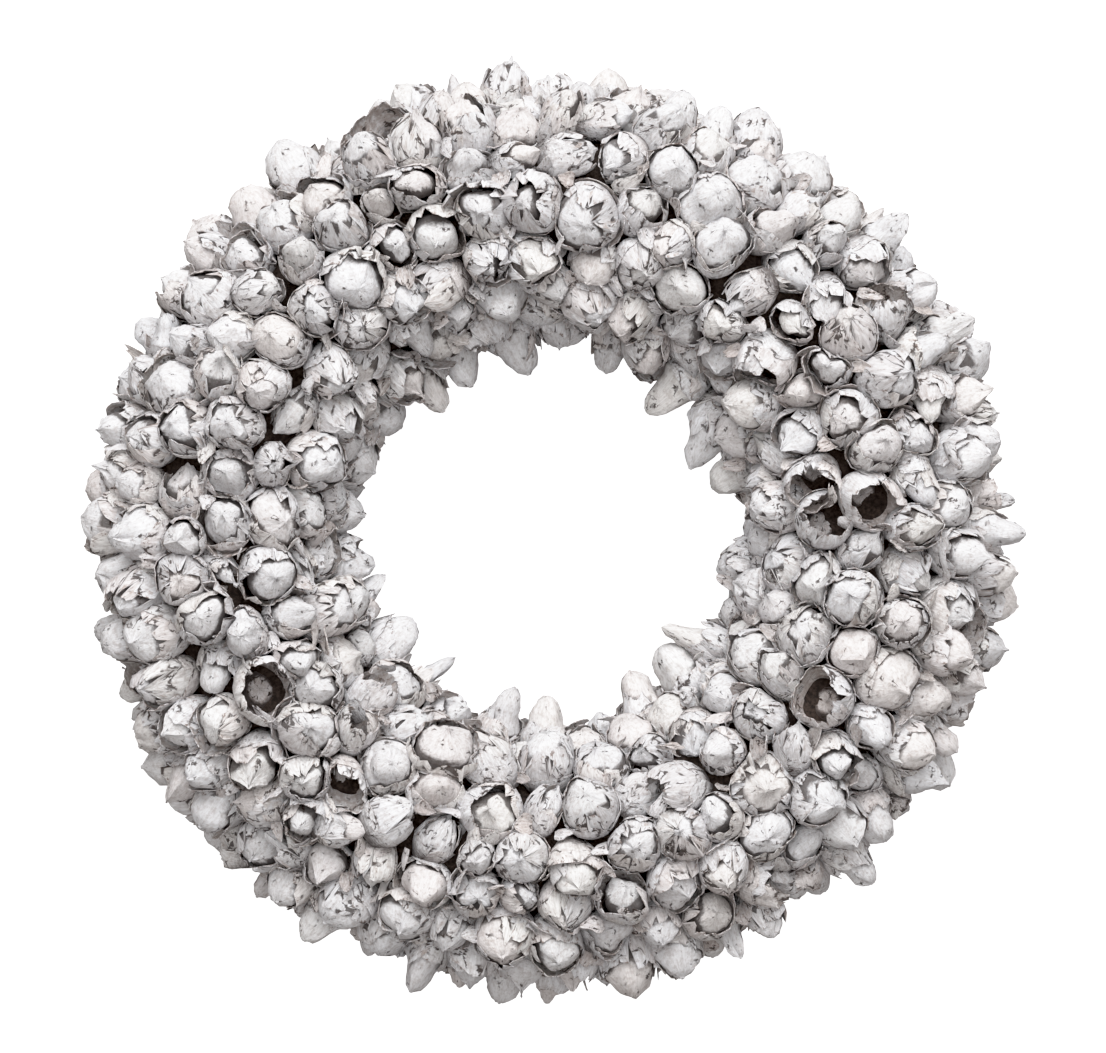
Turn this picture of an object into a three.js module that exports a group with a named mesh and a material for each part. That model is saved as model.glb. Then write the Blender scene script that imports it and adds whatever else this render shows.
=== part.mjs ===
// A coconut bud wreath, lying on its back: a straw ring bound with twine, covered on its front and
// sides with whitewashed coconut buds, each glued on by its root and pointing away from the ring.
// Units are millimetres. The origin is under the middle of the hole, on the surface that the wreath
// lies on. +Z is up, out of the wreath's front, and +Y is the wreath's top as it hangs.

import * as THREE from "three";

// The tube is the round body that runs round the ring. A place on it has three coordinates: the
// angle round the ring, the angle round the tube, which is 0 at the front, positive towards the
// outside and negative towards the hole, and the distance from the tube's centre line.
const RING_RADIUS = 200.5;
const STRAW_RADIUS = 49;

// The straw ring's section has eight sides, and lies on one of them.
const STRAW_SIDES = 8;
const CORNER_STEP = (2 * Math.PI) / STRAW_SIDES;
const TUBE_HEIGHT = STRAW_RADIUS * Math.cos(CORNER_STEP / 2);

// The twine winds round the ring in a groove that it has pulled into the straw.
const TWINE_TURNS = 18;
const GROOVE_DEPTH = 3.2;
const GROOVE_HALF_WIDTH = 5;
const TWINE_GAP = 0.4;
const TWINE_THICKNESS = 2.5;

// The buds stand in rows round the ring, and none grows on the back.
const COVERED_ANGLE = THREE.MathUtils.degToRad(126);
const BUD_ROWS = 11;
const BUD_PITCH = 31;
const BUD_RADIUS = 15.5;
const BELLY_RADIUS = 70;
const RELAX_STEPS = 3;

// Levels of a bud as distances from the tube's centre line. The ball of tepals is widest at the
// rim, and the nut stands out of it.
const ROOT_LEVEL = 52.1;
const VALLEY_LEVEL = 57;
const RIM_LEVEL = 79;
const TIP_LEVEL = 96;
const TIP_SPREAD = 8;
const LOOSE_TEPAL_LEVEL = 70;

const CLUSTERS = 16;
const CLUSTER_GAP = 0.9;
const FLOOR_GAP = 1;
const SEED = 16;

// A bud is closed, opened round its nut, an empty cup, or turned so that a tepal's back shows. The
// shoulder's width is a share of the bud's, and its depth is measured down from the tip.
const BUD_KINDS = [
  { share: 0.5, top: 0, shoulder: 0.66, sides: 5, depth: 7, ledge: false },
  { share: 0.26, top: 1, shoulder: 0.56, sides: 3, depth: 8, ledge: true },
  { share: 0.06, top: -36, shoulder: 0.58, sides: 3, depth: -5, ledge: false },
  { share: 0.18, top: -11, shoulder: 0.68, sides: 3, depth: 3, ledge: false },
];
const LOOSE_TEPAL_SHARE = 0.25;

// Seeded draws from 0 to 1, from a 32-bit linear congruential generator.
function drawsFrom(seed) {
  let state = seed >>> 0;
  return () => {
    state = (Math.imul(1664525, state) + 1013904223) >>> 0;
    return state / 4294967296;
  };
}

function pointOnTube(ringAngle, tubeAngle, level) {
  const reach = RING_RADIUS + level * Math.sin(tubeAngle);
  return new THREE.Vector3(
    reach * Math.cos(ringAngle),
    reach * Math.sin(ringAngle),
    TUBE_HEIGHT + level * Math.cos(tubeAngle),
  );
}

// The cells of the buds are found on a flat map of the tube at belly level. The map is conformal:
// x is the ring angle, y stretches the tube angle, and a circle on the tube stays a circle.
const MAP_ROOT = Math.sqrt(RING_RADIUS ** 2 - BELLY_RADIUS ** 2);

function mapHeight(tubeAngle) {
  const slope = (RING_RADIUS * Math.tan(tubeAngle / 2) + BELLY_RADIUS) / MAP_ROOT;
  return ((2 * BELLY_RADIUS) / MAP_ROOT) * Math.atan(slope);
}

function tubeAngleAt(height) {
  const slope = Math.tan((height * MAP_ROOT) / (2 * BELLY_RADIUS));
  return 2 * Math.atan((slope * MAP_ROOT - BELLY_RADIUS) / RING_RADIUS);
}

const MAP_LOW = mapHeight(-COVERED_ANGLE);
const MAP_HIGH = mapHeight(COVERED_ANGLE);

// Millimetres at belly level for one unit of the map at that height.
function mapScale(height) {
  return RING_RADIUS + BELLY_RADIUS * Math.sin(tubeAngleAt(height));
}

// Buds in staggered rows, each row with as many as its length holds, moved a little at random.
function startBuds(draw) {
  const buds = [];
  const rowStep = (2 * COVERED_ANGLE) / BUD_ROWS;
  for (let row = 0; row < BUD_ROWS; row++) {
    const rowAngle = -COVERED_ANGLE + (row + 0.5) * rowStep;
    const rowLength = 2 * Math.PI * (RING_RADIUS + BELLY_RADIUS * Math.sin(rowAngle));
    const count = Math.round(rowLength / BUD_PITCH);
    for (let n = 0; n < count; n++) {
      const along = n + 0.5 * (row % 2) + 0.7 * (draw() - 0.5);
      const tubeAngle = rowAngle + 0.7 * rowStep * (draw() - 0.5);
      const x = (2 * Math.PI * along) / count;
      const y = mapHeight(tubeAngle);
      buds.push({ x, y, radius: BUD_RADIUS * (0.72 + 0.5 * draw()) });
    }
  }
  return buds;
}

function wrapped(angle) {
  return angle - 2 * Math.PI * Math.round(angle / (2 * Math.PI));
}

// Keeps the part of a polygon where a*x + b*y <= c, and labels the new edge. A corner's label names
// what lies across the edge that starts at it.
function clipped(polygon, a, b, c, label) {
  const kept = [];
  polygon.forEach((corner, i) => {
    const next = polygon[(i + 1) % polygon.length];
    const here = a * corner.x + b * corner.y - c;
    const there = a * next.x + b * next.y - c;
    if (here <= 0) kept.push(corner);
    if (here <= 0 !== there <= 0) {
      const share = here / (here - there);
      const x = corner.x + share * (next.x - corner.x);
      const y = corner.y + share * (next.y - corner.y);
      kept.push({ x, y, label: here <= 0 ? label : corner.label });
    }
  });
  return kept;
}

// The ground that bud i covers on the map, by its size and its neighbours' sizes, as a polygon with
// corners counted from the bud's own place.
function cellOf(buds, i) {
  const bud = buds[i];
  const scale = mapScale(bud.y);
  const far = (2.6 * BUD_PITCH) / scale;
  let cell = [
    { x: -far, y: -far },
    { x: far, y: -far },
    { x: far, y: far },
    { x: -far, y: far },
  ];
  cell = clipped(cell, 0, -1, bud.y - MAP_LOW, "low");
  cell = clipped(cell, 0, 1, MAP_HIGH - bud.y, "high");
  buds.forEach((other, j) => {
    const dx = wrapped(other.x - bud.x);
    const dy = other.y - bud.y;
    const distance = Math.hypot(dx, dy);
    if (j === i || distance > far) return;
    const ownWeight = (bud.radius / scale) ** 2;
    const otherWeight = (other.radius / mapScale(other.y)) ** 2;
    const reach = (distance ** 2 + ownWeight - otherWeight) / 2;
    cell = clipped(cell, dx, dy, reach, j);
  });
  return cell;
}

function centroid(polygon) {
  let area = 0;
  let x = 0;
  let y = 0;
  polygon.forEach((p, i) => {
    const q = polygon[(i + 1) % polygon.length];
    const cross = p.x * q.y - q.x * p.y;
    area += cross / 2;
    x += ((p.x + q.x) * cross) / 6;
    y += ((p.y + q.y) * cross) / 6;
  });
  return { x: x / area, y: y / area };
}

// Buds settle against each other: each moves to the middle of its ground, a few times over.
function settledBuds(draw) {
  const buds = startBuds(draw);
  for (let step = 0; step < RELAX_STEPS; step++) {
    const middles = buds.map((_, i) => centroid(cellOf(buds, i)));
    buds.forEach((bud, i) => {
      bud.x += middles[i].x;
      bud.y += middles[i].y;
    });
  }
  return buds;
}

function kindFor(value) {
  let sum = 0;
  return BUD_KINDS.find((k) => (sum += k.share) > value) ?? BUD_KINDS[0];
}

// What each bud is like, with one set of draws for each.
function dressBuds(buds, draw) {
  buds.forEach((bud, i) => {
    bud.cell = cellOf(buds, i);
    bud.middle = centroid(bud.cell);
    bud.kind = kindFor(draw());
    bud.spin = 2 * Math.PI * draw();
    bud.leanAngle = 2 * Math.PI * draw();
    bud.lean = 0.36 * draw();
    bud.tip = TIP_LEVEL + bud.kind.top + TIP_SPREAD * (2 * draw() - 1);
    bud.cluster = Math.floor(((wrapped(bud.x) / (2 * Math.PI) + 1) % 1) * CLUSTERS);
  });
}

const draw = drawsFrom(SEED);
const buds = settledBuds(draw);
dressBuds(buds, draw);

// Three buds meet at a corner, or two at the edge of the covered ground. Its name is the same from
// each of them.
function cornerName(i, cell, n) {
  const before = cell[(n + cell.length - 1) % cell.length].label;
  return [i, before, cell[n].label].map(String).sort().join(" ");
}

// Whether a loose tepal is wedged in at a corner: a draw of the corner's own, from its buds.
function holdsLooseTepal(name) {
  const members = name.split(" ").map(Number);
  if (members.some(Number.isNaN)) return false;
  const own = drawsFrom(members.reduce((sum, m) => sum + (m + 1) * (m + 7), SEED));
  own();
  return own() < LOOSE_TEPAL_SHARE;
}

// Collects the vertices and triangles of one cluster.
class ClusterMesh {
  constructor() {
    this.positions = [];
    this.indices = [];
    this.named = new Map();
  }

  // A bud that would reach down to the floor stops short of it.
  add(x, y, level) {
    const tubeAngle = tubeAngleAt(y);
    const drop = -Math.cos(tubeAngle);
    const longest = drop > 0 ? (TUBE_HEIGHT - FLOOR_GAP) / drop : level;
    const p = pointOnTube(x, tubeAngle, Math.min(level, longest));
    this.positions.push(p.x, p.y, p.z);
    return this.positions.length / 3 - 1;
  }

  addNamed(name, x, y, level) {
    if (!this.named.has(name)) this.named.set(name, this.add(x, y, level));
    return this.named.get(name);
  }

  // Corners run anticlockwise on the map, which is clockwise seen from outside the tube.
  triangle(a, b, c) {
    this.indices.push(a, c, b);
  }

  // A wall of four corners. Two buds with a wall in common split theirs along the same line, so that
  // neither bulges past the other.
  wall([a, b, c, d], fromA) {
    this.triangle(a, b, fromA ? c : d);
    this.triangle(fromA ? a : b, c, d);
  }

  // Joins an outer ring of vertices to an inner one, turning round their shared centre.
  join(outer, inner) {
    let i = 0;
    let j = 0;
    while (i < outer.length || j < inner.length) {
      const a = outer[i % outer.length];
      const b = inner[j % inner.length];
      const outerStep = Math.abs(turnOf(outer, i + 1) - turnOf(inner, j));
      const innerStep = Math.abs(turnOf(inner, j + 1) - turnOf(outer, i));
      if (j >= inner.length || (i < outer.length && outerStep <= innerStep)) {
        i++;
        this.triangle(a.index, outer[i % outer.length].index, b.index);
      } else {
        j++;
        this.triangle(a.index, inner[j % inner.length].index, b.index);
      }
    }
  }

  fan(ring, tip) {
    ring.forEach((v, i) => this.triangle(v.index, ring[(i + 1) % ring.length].index, tip));
  }

  geometry() {
    const made = new THREE.BufferGeometry();
    made.setAttribute("position", new THREE.Float32BufferAttribute(this.positions, 3));
    made.setIndex(this.indices);
    made.computeVertexNormals();
    return made;
  }
}

// The turn of a ring's n-th vertex, past a full turn where n goes round again.
function turnOf(ring, n) {
  return ring[n % ring.length].turn + 2 * Math.PI * Math.floor(n / ring.length);
}

function turnFrom(start, x, y) {
  const turn = Math.atan2(y, x) - start;
  return turn < 0 ? turn + 2 * Math.PI : turn;
}

// A cell's corners as this cluster has them: those that it shares with another cluster are drawn
// back towards its own buds, so that the clusters stay clear of each other.
function cornersOf(i) {
  const { x, y, cell, middle, cluster } = buds[i];
  const back = CLUSTER_GAP / 2 / mapScale(y);
  return cell.map((corner, n) => {
    const name = cornerName(i, cell, n);
    const members = name.split(" ").map(Number);
    const around = members.filter((m) => !Number.isNaN(m));
    const own = around.filter((m) => buds[m].cluster === cluster);
    let dx = 0;
    let dy = 0;
    if (own.length < around.length) {
      own.forEach((m) => {
        dx += wrapped(buds[m].x + buds[m].middle.x - x - corner.x);
        dy += buds[m].y + buds[m].middle.y - y - corner.y;
      });
      const length = Math.hypot(dx, dy);
      dx *= back / length;
      dy *= back / length;
    }
    const toX = corner.x + dx - middle.x;
    const toY = corner.y + dy - middle.y;
    return { name, toX, toY, across: corner.label };
  });
}

// Where a bud touches each of its neighbours. A bud is round, so it reaches no farther towards a
// neighbour that stands far off.
function sidesOf(corners) {
  const sides = corners.map((corner, n) => {
    const next = corners[(n + 1) % corners.length];
    return { toX: (corner.toX + next.toX) / 2, toY: (corner.toY + next.toY) / 2 };
  });
  const radii = sides.map((side) => Math.hypot(side.toX, side.toY));
  const longest = (1.12 * radii.reduce((sum, r) => sum + r, 0)) / radii.length;
  return sides.map((side, n) => {
    const share = Math.min(1, longest / radii[n]);
    return { toX: share * side.toX, toY: share * side.toY };
  });
}

// The level of a rim's n-th point: tepals and the notches between them take turns, and one tepal
// in some buds has peeled outwards.
function rimLevel(bud, n) {
  const peeled = bud.spin > 4.4 && n === Math.floor(bud.spin) % bud.cell.length;
  return RIM_LEVEL + (n % 2 ? 2 : -2.5) + (peeled ? 4 : 0);
}

function ringAt(mesh, bud, start, points, share, levelOf) {
  const midX = bud.x + bud.middle.x;
  const midY = bud.y + bud.middle.y;
  return points.map((p, n) => ({
    index: mesh.add(midX + share * p.toX, midY + share * p.toY, levelOf(n)),
    turn: turnFrom(start, p.toX, p.toY),
  }));
}

// Points round the bud's shoulder. The nut that stands in an opened bud is three-sided.
function shoulderRing(mesh, bud, start, size) {
  const midX = bud.x + bud.middle.x + (bud.lean / 2) * size * Math.cos(bud.leanAngle);
  const midY = bud.y + bud.middle.y + (bud.lean / 2) * size * Math.sin(bud.leanAngle);
  const reach = bud.kind.shoulder * size;
  const ring = Array.from({ length: bud.kind.sides }, (_, n) => {
    const angle = bud.spin + (2 * Math.PI * n) / bud.kind.sides;
    const dx = reach * Math.cos(angle);
    const dy = reach * Math.sin(angle);
    const index = mesh.add(midX + dx, midY + dy, bud.tip - bud.kind.depth);
    return { index, turn: turnFrom(start, dx, dy) };
  });
  return ring.sort((a, b) => a.turn - b.turn);
}

function addBud(mesh, i) {
  const bud = buds[i];
  const corners = cornersOf(i);
  const midX = bud.x + bud.middle.x;
  const midY = bud.y + bud.middle.y;
  const start = Math.atan2(corners[0].toY, corners[0].toX) - 1e-6;
  const cornerAt = (kind, c, level) => ({
    index: mesh.addNamed(kind + c.name, midX + c.toX, midY + c.toY, level),
    turn: turnFrom(start, c.toX, c.toY),
  });
  const valley = corners.map((c) =>
    cornerAt("valley ", c, holdsLooseTepal(c.name) ? LOOSE_TEPAL_LEVEL : VALLEY_LEVEL),
  );
  const root = corners.map((c) => cornerAt("root ", c, ROOT_LEVEL).index);
  corners.forEach((corner, n) => {
    const m = (n + 1) % corners.length;
    const outside = typeof corner.across === "string" || buds[corner.across].cluster !== bud.cluster;
    const split = corner.name < corners[m].name;
    if (outside) mesh.wall([root[n], root[m], valley[m].index, valley[n].index], split);
    if (n > 1) mesh.triangle(root[0], root[n], root[n - 1]);
  });

  const sides = sidesOf(corners);
  const rim = ringAt(mesh, bud, start, sides, 0.96, (n) => rimLevel(bud, n));
  mesh.join(valley, rim);
  let inner = rim;
  if (bud.kind.ledge) {
    inner = ringAt(mesh, bud, start, sides, 0.7, () => RIM_LEVEL - 6);
    mesh.join(rim, inner);
  }
  const size = Math.min(...sides.map((side) => Math.hypot(side.toX, side.toY)));
  const shoulder = shoulderRing(mesh, bud, start, size);
  mesh.join(inner, shoulder);
  const leanX = bud.lean * size * Math.cos(bud.leanAngle);
  const leanY = bud.lean * size * Math.sin(bud.leanAngle);
  mesh.fan(shoulder, mesh.add(midX + leanX, midY + leanY, bud.tip));
}

const whitewash = new THREE.MeshStandardMaterial({ color: 0xd9d6d4, roughness: 0.92, metalness: 0 });
const straw = new THREE.MeshStandardMaterial({ color: 0xb08d54, roughness: 0.85, metalness: 0 });
const jute = new THREE.MeshStandardMaterial({ color: 0x8a6a42, roughness: 0.95, metalness: 0 });

function budCluster(number) {
  const mesh = new ClusterMesh();
  buds.forEach((bud, i) => {
    if (bud.cluster === number) addBud(mesh, i);
  });
  const cluster = new THREE.Mesh(mesh.geometry(), whitewash);
  cluster.name = "bud_cluster_" + String(number + 1).padStart(2, "0");
  return cluster;
}

// A closed surface of lines that wind round the tube side by side, all the way round the ring. Each
// line is { shift, depth }: how far it lies along the ring from the twine, and below the straw. The
// last line of one turn is next to the first line of the next where joinTurns is true, and next to
// the first line of its own turn where it is false.
function windingGeometry(lines, joinTurns) {
  const steps = TWINE_TURNS * STRAW_SIDES;
  const positions = [];
  for (let step = 0; step < steps; step++) {
    const tubeAngle = (step + 0.5) * CORNER_STEP;
    const ringAngle = (2 * Math.PI * step) / steps;
    lines.forEach(({ shift, depth }) => {
      const p = pointOnTube(ringAngle + shift / RING_RADIUS, tubeAngle, STRAW_RADIUS - depth);
      positions.push(p.x, p.y, p.z);
    });
  }
  const indexOf = (step, line) => {
    const turns = joinTurns ? Math.floor(line / lines.length) : 0;
    const at = (step + turns * STRAW_SIDES) % steps;
    return at * lines.length + (line % lines.length);
  };
  const indices = [];
  for (let step = 0; step < steps; step++) {
    lines.forEach((_, line) => {
      const a = indexOf(step, line);
      const b = indexOf(step + 1, line);
      const c = indexOf(step + 1, line + 1);
      const d = indexOf(step, line + 1);
      indices.push(a, b, c, a, c, d);
    });
  }
  const made = new THREE.BufferGeometry();
  made.setAttribute("position", new THREE.Float32BufferAttribute(positions, 3));
  made.setIndex(indices);
  made.computeVertexNormals();
  return made;
}

function strawRing() {
  const lines = [
    { shift: -GROOVE_HALF_WIDTH, depth: 0 },
    { shift: 0, depth: GROOVE_DEPTH },
    { shift: GROOVE_HALF_WIDTH, depth: 0 },
  ];
  const ring = new THREE.Mesh(windingGeometry(lines, true), straw);
  ring.name = "straw_ring";
  return ring;
}

function bindingTwine() {
  const floor = GROOVE_DEPTH - TWINE_GAP;
  const lines = [
    { shift: TWINE_THICKNESS / 2, depth: floor - TWINE_THICKNESS },
    { shift: 0, depth: floor },
    { shift: -TWINE_THICKNESS / 2, depth: floor - TWINE_THICKNESS },
  ];
  const twine = new THREE.Mesh(windingGeometry(lines, false), jute);
  twine.name = "binding_twine";
  return twine;
}

const wreath = new THREE.Group();
wreath.add(strawRing(), bindingTwine());
for (let number = 0; number < CLUSTERS; number++) wreath.add(budCluster(number));

export default wreath;
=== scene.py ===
# %% [markdown]
# # A coconut bud wreath
# The wreath is a ring of straw, covered with some 440 dried coconut buds. A coconut bud is a young
# nut that fell before it grew: three-sided, as big as a walnut, and held in a cup of six tepals,
# the thick scales that a palm has for petals. The buds are glued on by their roots, so each one
# points away from the ring, and then everything is whitewashed.
#
# The frame holds the wreath's sizes and its plain solids: one for the buds of each sixteenth, one for
# the straw ring and one for its twine. This script keeps every bud on the ground that the frame gives
# it, and makes its nut, its torn tepals and its worn white paint.

# %% Load the frame
import math

import bpy
import numpy as np
from mathutils import Matrix, Vector


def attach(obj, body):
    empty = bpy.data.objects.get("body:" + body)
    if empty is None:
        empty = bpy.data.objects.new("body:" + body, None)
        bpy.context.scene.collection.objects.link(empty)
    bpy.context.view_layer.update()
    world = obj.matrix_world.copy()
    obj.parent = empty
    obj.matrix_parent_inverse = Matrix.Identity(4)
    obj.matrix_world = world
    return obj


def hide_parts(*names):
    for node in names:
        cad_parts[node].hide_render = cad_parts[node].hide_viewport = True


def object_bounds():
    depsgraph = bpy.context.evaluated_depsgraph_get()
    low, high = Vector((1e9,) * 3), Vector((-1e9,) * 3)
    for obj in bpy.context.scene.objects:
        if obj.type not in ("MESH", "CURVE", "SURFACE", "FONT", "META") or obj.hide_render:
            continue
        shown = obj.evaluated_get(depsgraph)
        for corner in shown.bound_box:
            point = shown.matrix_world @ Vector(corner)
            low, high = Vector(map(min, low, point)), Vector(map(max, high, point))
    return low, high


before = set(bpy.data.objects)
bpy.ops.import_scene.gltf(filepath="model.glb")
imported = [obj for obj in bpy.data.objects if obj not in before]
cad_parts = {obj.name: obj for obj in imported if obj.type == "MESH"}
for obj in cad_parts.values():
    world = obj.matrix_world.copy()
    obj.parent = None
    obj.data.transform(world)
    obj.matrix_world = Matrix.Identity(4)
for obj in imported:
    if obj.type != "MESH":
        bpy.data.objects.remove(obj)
frame_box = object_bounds()
MM = 0.001

frame_size = (Vector(frame_box[1]) - Vector(frame_box[0])) / MM
print("the wreath is", [round(v) for v in frame_size], "mm")
print("nodes:", len(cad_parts))

# %% [markdown]
# ## Camera
# The wreath lies on its back and the photograph looks straight at its front, so the camera looks
# straight down. A long lens from far away keeps the outer buds from leaning outwards. The lens
# length follows from the distance and from how many millimetres one pixel of the photograph shows.

# %% Camera
PHOTO_SIZE = (1106, 1053)
PHOTO_WREATH_MIDDLE = (548, 531)
PIXEL_SIZE = 0.632 * MM
CAMERA_HEIGHT = 2500 * MM
WIDEST_LEVEL = 45 * MM
SENSOR_WIDTH = 36

camera_data = bpy.data.cameras.new("camera")
camera_data.sensor_width = SENSOR_WIDTH
view_width = PHOTO_SIZE[0] * PIXEL_SIZE
camera_data.lens = SENSOR_WIDTH * (CAMERA_HEIGHT - WIDEST_LEVEL) / view_width
camera = bpy.data.objects.new("camera", camera_data)
camera_x = (PHOTO_SIZE[0] / 2 - PHOTO_WREATH_MIDDLE[0]) * PIXEL_SIZE
camera_y = (PHOTO_WREATH_MIDDLE[1] - PHOTO_SIZE[1] / 2) * PIXEL_SIZE
camera.location = (camera_x, camera_y, CAMERA_HEIGHT)
bpy.context.scene.collection.objects.link(camera)
bpy.context.scene.camera = camera
print("lens:", round(camera_data.lens, 1), "mm")

# %% [markdown]
# ## Floor
# The photograph is a cut-out: the wreath stands on pure white, with no shadow. A floor that really
# was so bright would light the buds from below and wash out their undersides. So this floor is a mid
# grey that gives back little light, and it glows for the camera's own rays alone. The Light Path
# node tells those rays from the ones that light the wreath.

# %% Floor
FLOOR_HALF_WIDTH = 12.0
FLOOR_GREY = (0.31, 0.3, 0.295, 1)
FLOOR_ROUGHNESS = 0.9
FLOOR_GLOW_SEEN = 1.4
FLOOR_GLOW_GIVEN = 0
MIX_FIRST, MIX_SECOND, MIX_RESULT = 6, 7, 2

floor_mesh = bpy.data.meshes.new("floor")
floor_signs = ((-1, -1), (1, -1), (1, 1), (-1, 1))
corners = [(x * FLOOR_HALF_WIDTH, y * FLOOR_HALF_WIDTH, 0) for x, y in floor_signs]
floor_mesh.from_pydata(corners, [], [(0, 1, 2, 3)])
floor = bpy.data.objects.new("floor", floor_mesh)
bpy.context.scene.collection.objects.link(floor)

floor_paint = bpy.data.materials.new("pale floor")
floor_paint.use_nodes = True
floor_shader = floor_paint.node_tree.nodes["Principled BSDF"]
floor_shader.inputs["Base Color"].default_value = FLOOR_GREY
floor_shader.inputs["Roughness"].default_value = FLOOR_ROUGHNESS
floor_shader.inputs["Emission Strength"].default_value = 1
light_path = floor_paint.node_tree.nodes.new("ShaderNodeLightPath")
glow = floor_paint.node_tree.nodes.new("ShaderNodeMix")
glow.data_type = "RGBA"
glow.inputs[MIX_FIRST].default_value = (FLOOR_GLOW_GIVEN, FLOOR_GLOW_GIVEN, FLOOR_GLOW_GIVEN, 1)
glow.inputs[MIX_SECOND].default_value = (FLOOR_GLOW_SEEN, FLOOR_GLOW_SEEN, FLOOR_GLOW_SEEN, 1)
floor_paint.node_tree.links.new(light_path.outputs["Is Camera Ray"], glow.inputs[0])
floor_paint.node_tree.links.new(glow.outputs[MIX_RESULT], floor_shader.inputs["Emission Color"])
floor_mesh.materials.append(floor_paint)
print("the floor glows", FLOOR_GLOW_SEEN, "to the camera and", FLOOR_GLOW_GIVEN, "to the wreath")

# %% [markdown]
# ## Lamps and sky
# Chalky white shows its shape only by soft shadows. One wide lamp stands high beyond the wreath's
# top edge, like a window, and a small weak one straight above reaches into the gaps. A pale, slightly
# warm sky fills in from all round. A lamp's size sets how soft its shadows are.

# %% Lamps and sky
LAMP_COLOUR = (0.97, 0.985, 1)
SKY_COLOUR = (1, 0.934, 0.893, 1)
SKY_STRENGTH = 0.347


def add_lamp(name, place, size, power):
    """A square lamp at that place, facing the middle of the wreath. Sizes are in metres."""
    data = bpy.data.lights.new(name, "AREA")
    data.size = size
    data.energy = power
    data.color = LAMP_COLOUR
    made = bpy.data.objects.new(name, data)
    made.location = place
    towards = Vector((0, 0, WIDEST_LEVEL)) - Vector(place)
    made.rotation_euler = towards.to_track_quat("-Z", "Y").to_euler()
    bpy.context.scene.collection.objects.link(made)


add_lamp("top lamp", place=(0.15, 3.5, 3.5), size=4.2, power=398)
add_lamp("fill lamp", place=(0.0, 0.0, 3.4), size=1.6, power=40)

world = bpy.data.worlds.new("studio")
world.use_nodes = True
world.node_tree.nodes["Background"].inputs["Color"].default_value = SKY_COLOUR
world.node_tree.nodes["Background"].inputs["Strength"].default_value = SKY_STRENGTH
bpy.context.scene.world = world

# %% [markdown]
# ## Tones
# A camera squeezes the brightest tones together, so that white paint keeps its detail, and lets the
# darkest gaps go black. A tone curve in the view settings does both. Its white level is the light
# that comes out as white, its black level the light that comes out as black, and two points between
# them bend the curve.

# %% Tones
WHITE_LEVEL = 1.35
BLACK_LEVEL = 0.006
TONES = ((0.37, 0.5), (0.741, 0.895))
ALL_COLOURS = 3

view = bpy.context.scene.view_settings
view.view_transform = "Standard"
view.use_curve_mapping = True
view.curve_mapping.white_level = (WHITE_LEVEL, WHITE_LEVEL, WHITE_LEVEL)
view.curve_mapping.black_level = (BLACK_LEVEL, BLACK_LEVEL, BLACK_LEVEL)
for light_in, light_out in TONES:
    view.curve_mapping.curves[ALL_COLOURS].points.new(light_in, light_out)
view.curve_mapping.update()
print("the tone curve has", len(view.curve_mapping.curves[ALL_COLOURS].points), "points")

# %% [markdown]
# ## The tube and its map
# The body of the wreath is a round tube bent into a ring. A place on it has three coordinates: the
# angle round the ring, the angle round the tube, and the level, which is the distance from the
# tube's centre line. To share out the tube's surface among the buds, it is unrolled onto a flat map
# that keeps circles round, so that a bud is as wide as it is long wherever it stands.

# %% The tube and its map
RING_RADIUS = 200.5
STRAW_RADIUS = 49
FLAT_BACK_HALF_ANGLE = math.radians(22.5)
TUBE_HEIGHT = STRAW_RADIUS * math.cos(FLAT_BACK_HALF_ANGLE)
COVERED_ANGLE = math.radians(126)
BELLY_RADIUS = 70
MAP_ROOT = math.sqrt(RING_RADIUS**2 - BELLY_RADIUS**2)


def map_height(tube_angle):
    """How high on the map an angle round the tube lies."""
    slope = (RING_RADIUS * math.tan(tube_angle / 2) + BELLY_RADIUS) / MAP_ROOT
    return 2 * BELLY_RADIUS / MAP_ROOT * math.atan(slope)


def tube_angle_at(height):
    """The angle round the tube at a height of the map."""
    slope = math.tan(height * MAP_ROOT / (2 * BELLY_RADIUS))
    return 2 * math.atan((slope * MAP_ROOT - BELLY_RADIUS) / RING_RADIUS)


def map_scale(height):
    """Millimetres on the tube for one unit of the map at that height."""
    return RING_RADIUS + BELLY_RADIUS * math.sin(tube_angle_at(height))


MAP_LOW = map_height(-COVERED_ANGLE)
MAP_HIGH = map_height(COVERED_ANGLE)
print("the map runs from", round(MAP_LOW, 3), "to", round(MAP_HIGH, 3))

# %% [markdown]
# ## Where the buds stand
# The buds start in staggered rows, a little out of line. Each then takes the ground that is nearer
# to it than to its neighbours, and moves to the middle of that ground, three times over. This is
# how balls that are pushed together settle. The draws come from a small generator with a fixed
# seed, the same as the frame's, so each bud gets the ground and the kind that it has in the frame.

# %% Where the buds stand
BUD_ROWS = 11
BUD_PITCH = 31
BUD_RADIUS = 15.5
CLUSTERS = 16
SEED = 16
KINDS = ("closed", "opened", "empty", "turned")
KIND_SHARES = (0.5, 0.26, 0.06, 0.18)
KIND_TOPS = (96, 97, 60, 85)
TIP_SPREAD = 8
START_DISORDER = 0.7
SMALLEST_SHARE = 0.72
SIZE_SPREAD = 0.5
SETTLING_STEPS = 3
MOST_LEAN = 0.36
NEIGHBOURS_WITHIN = 2.6
DRAW_FACTOR, DRAW_STEP, DRAW_RANGE = 1664525, 1013904223, 2**32


def draws_from(seed):
    """Seeded draws from 0 to 1, from a 32-bit linear congruential generator."""
    state = seed
    while True:
        state = (DRAW_FACTOR * state + DRAW_STEP) % DRAW_RANGE
        yield state / DRAW_RANGE


def wrapped(angle):
    """The same direction as an angle between minus and plus half a turn."""
    return angle - 2 * math.pi * math.floor(angle / (2 * math.pi) + 0.5)


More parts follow.
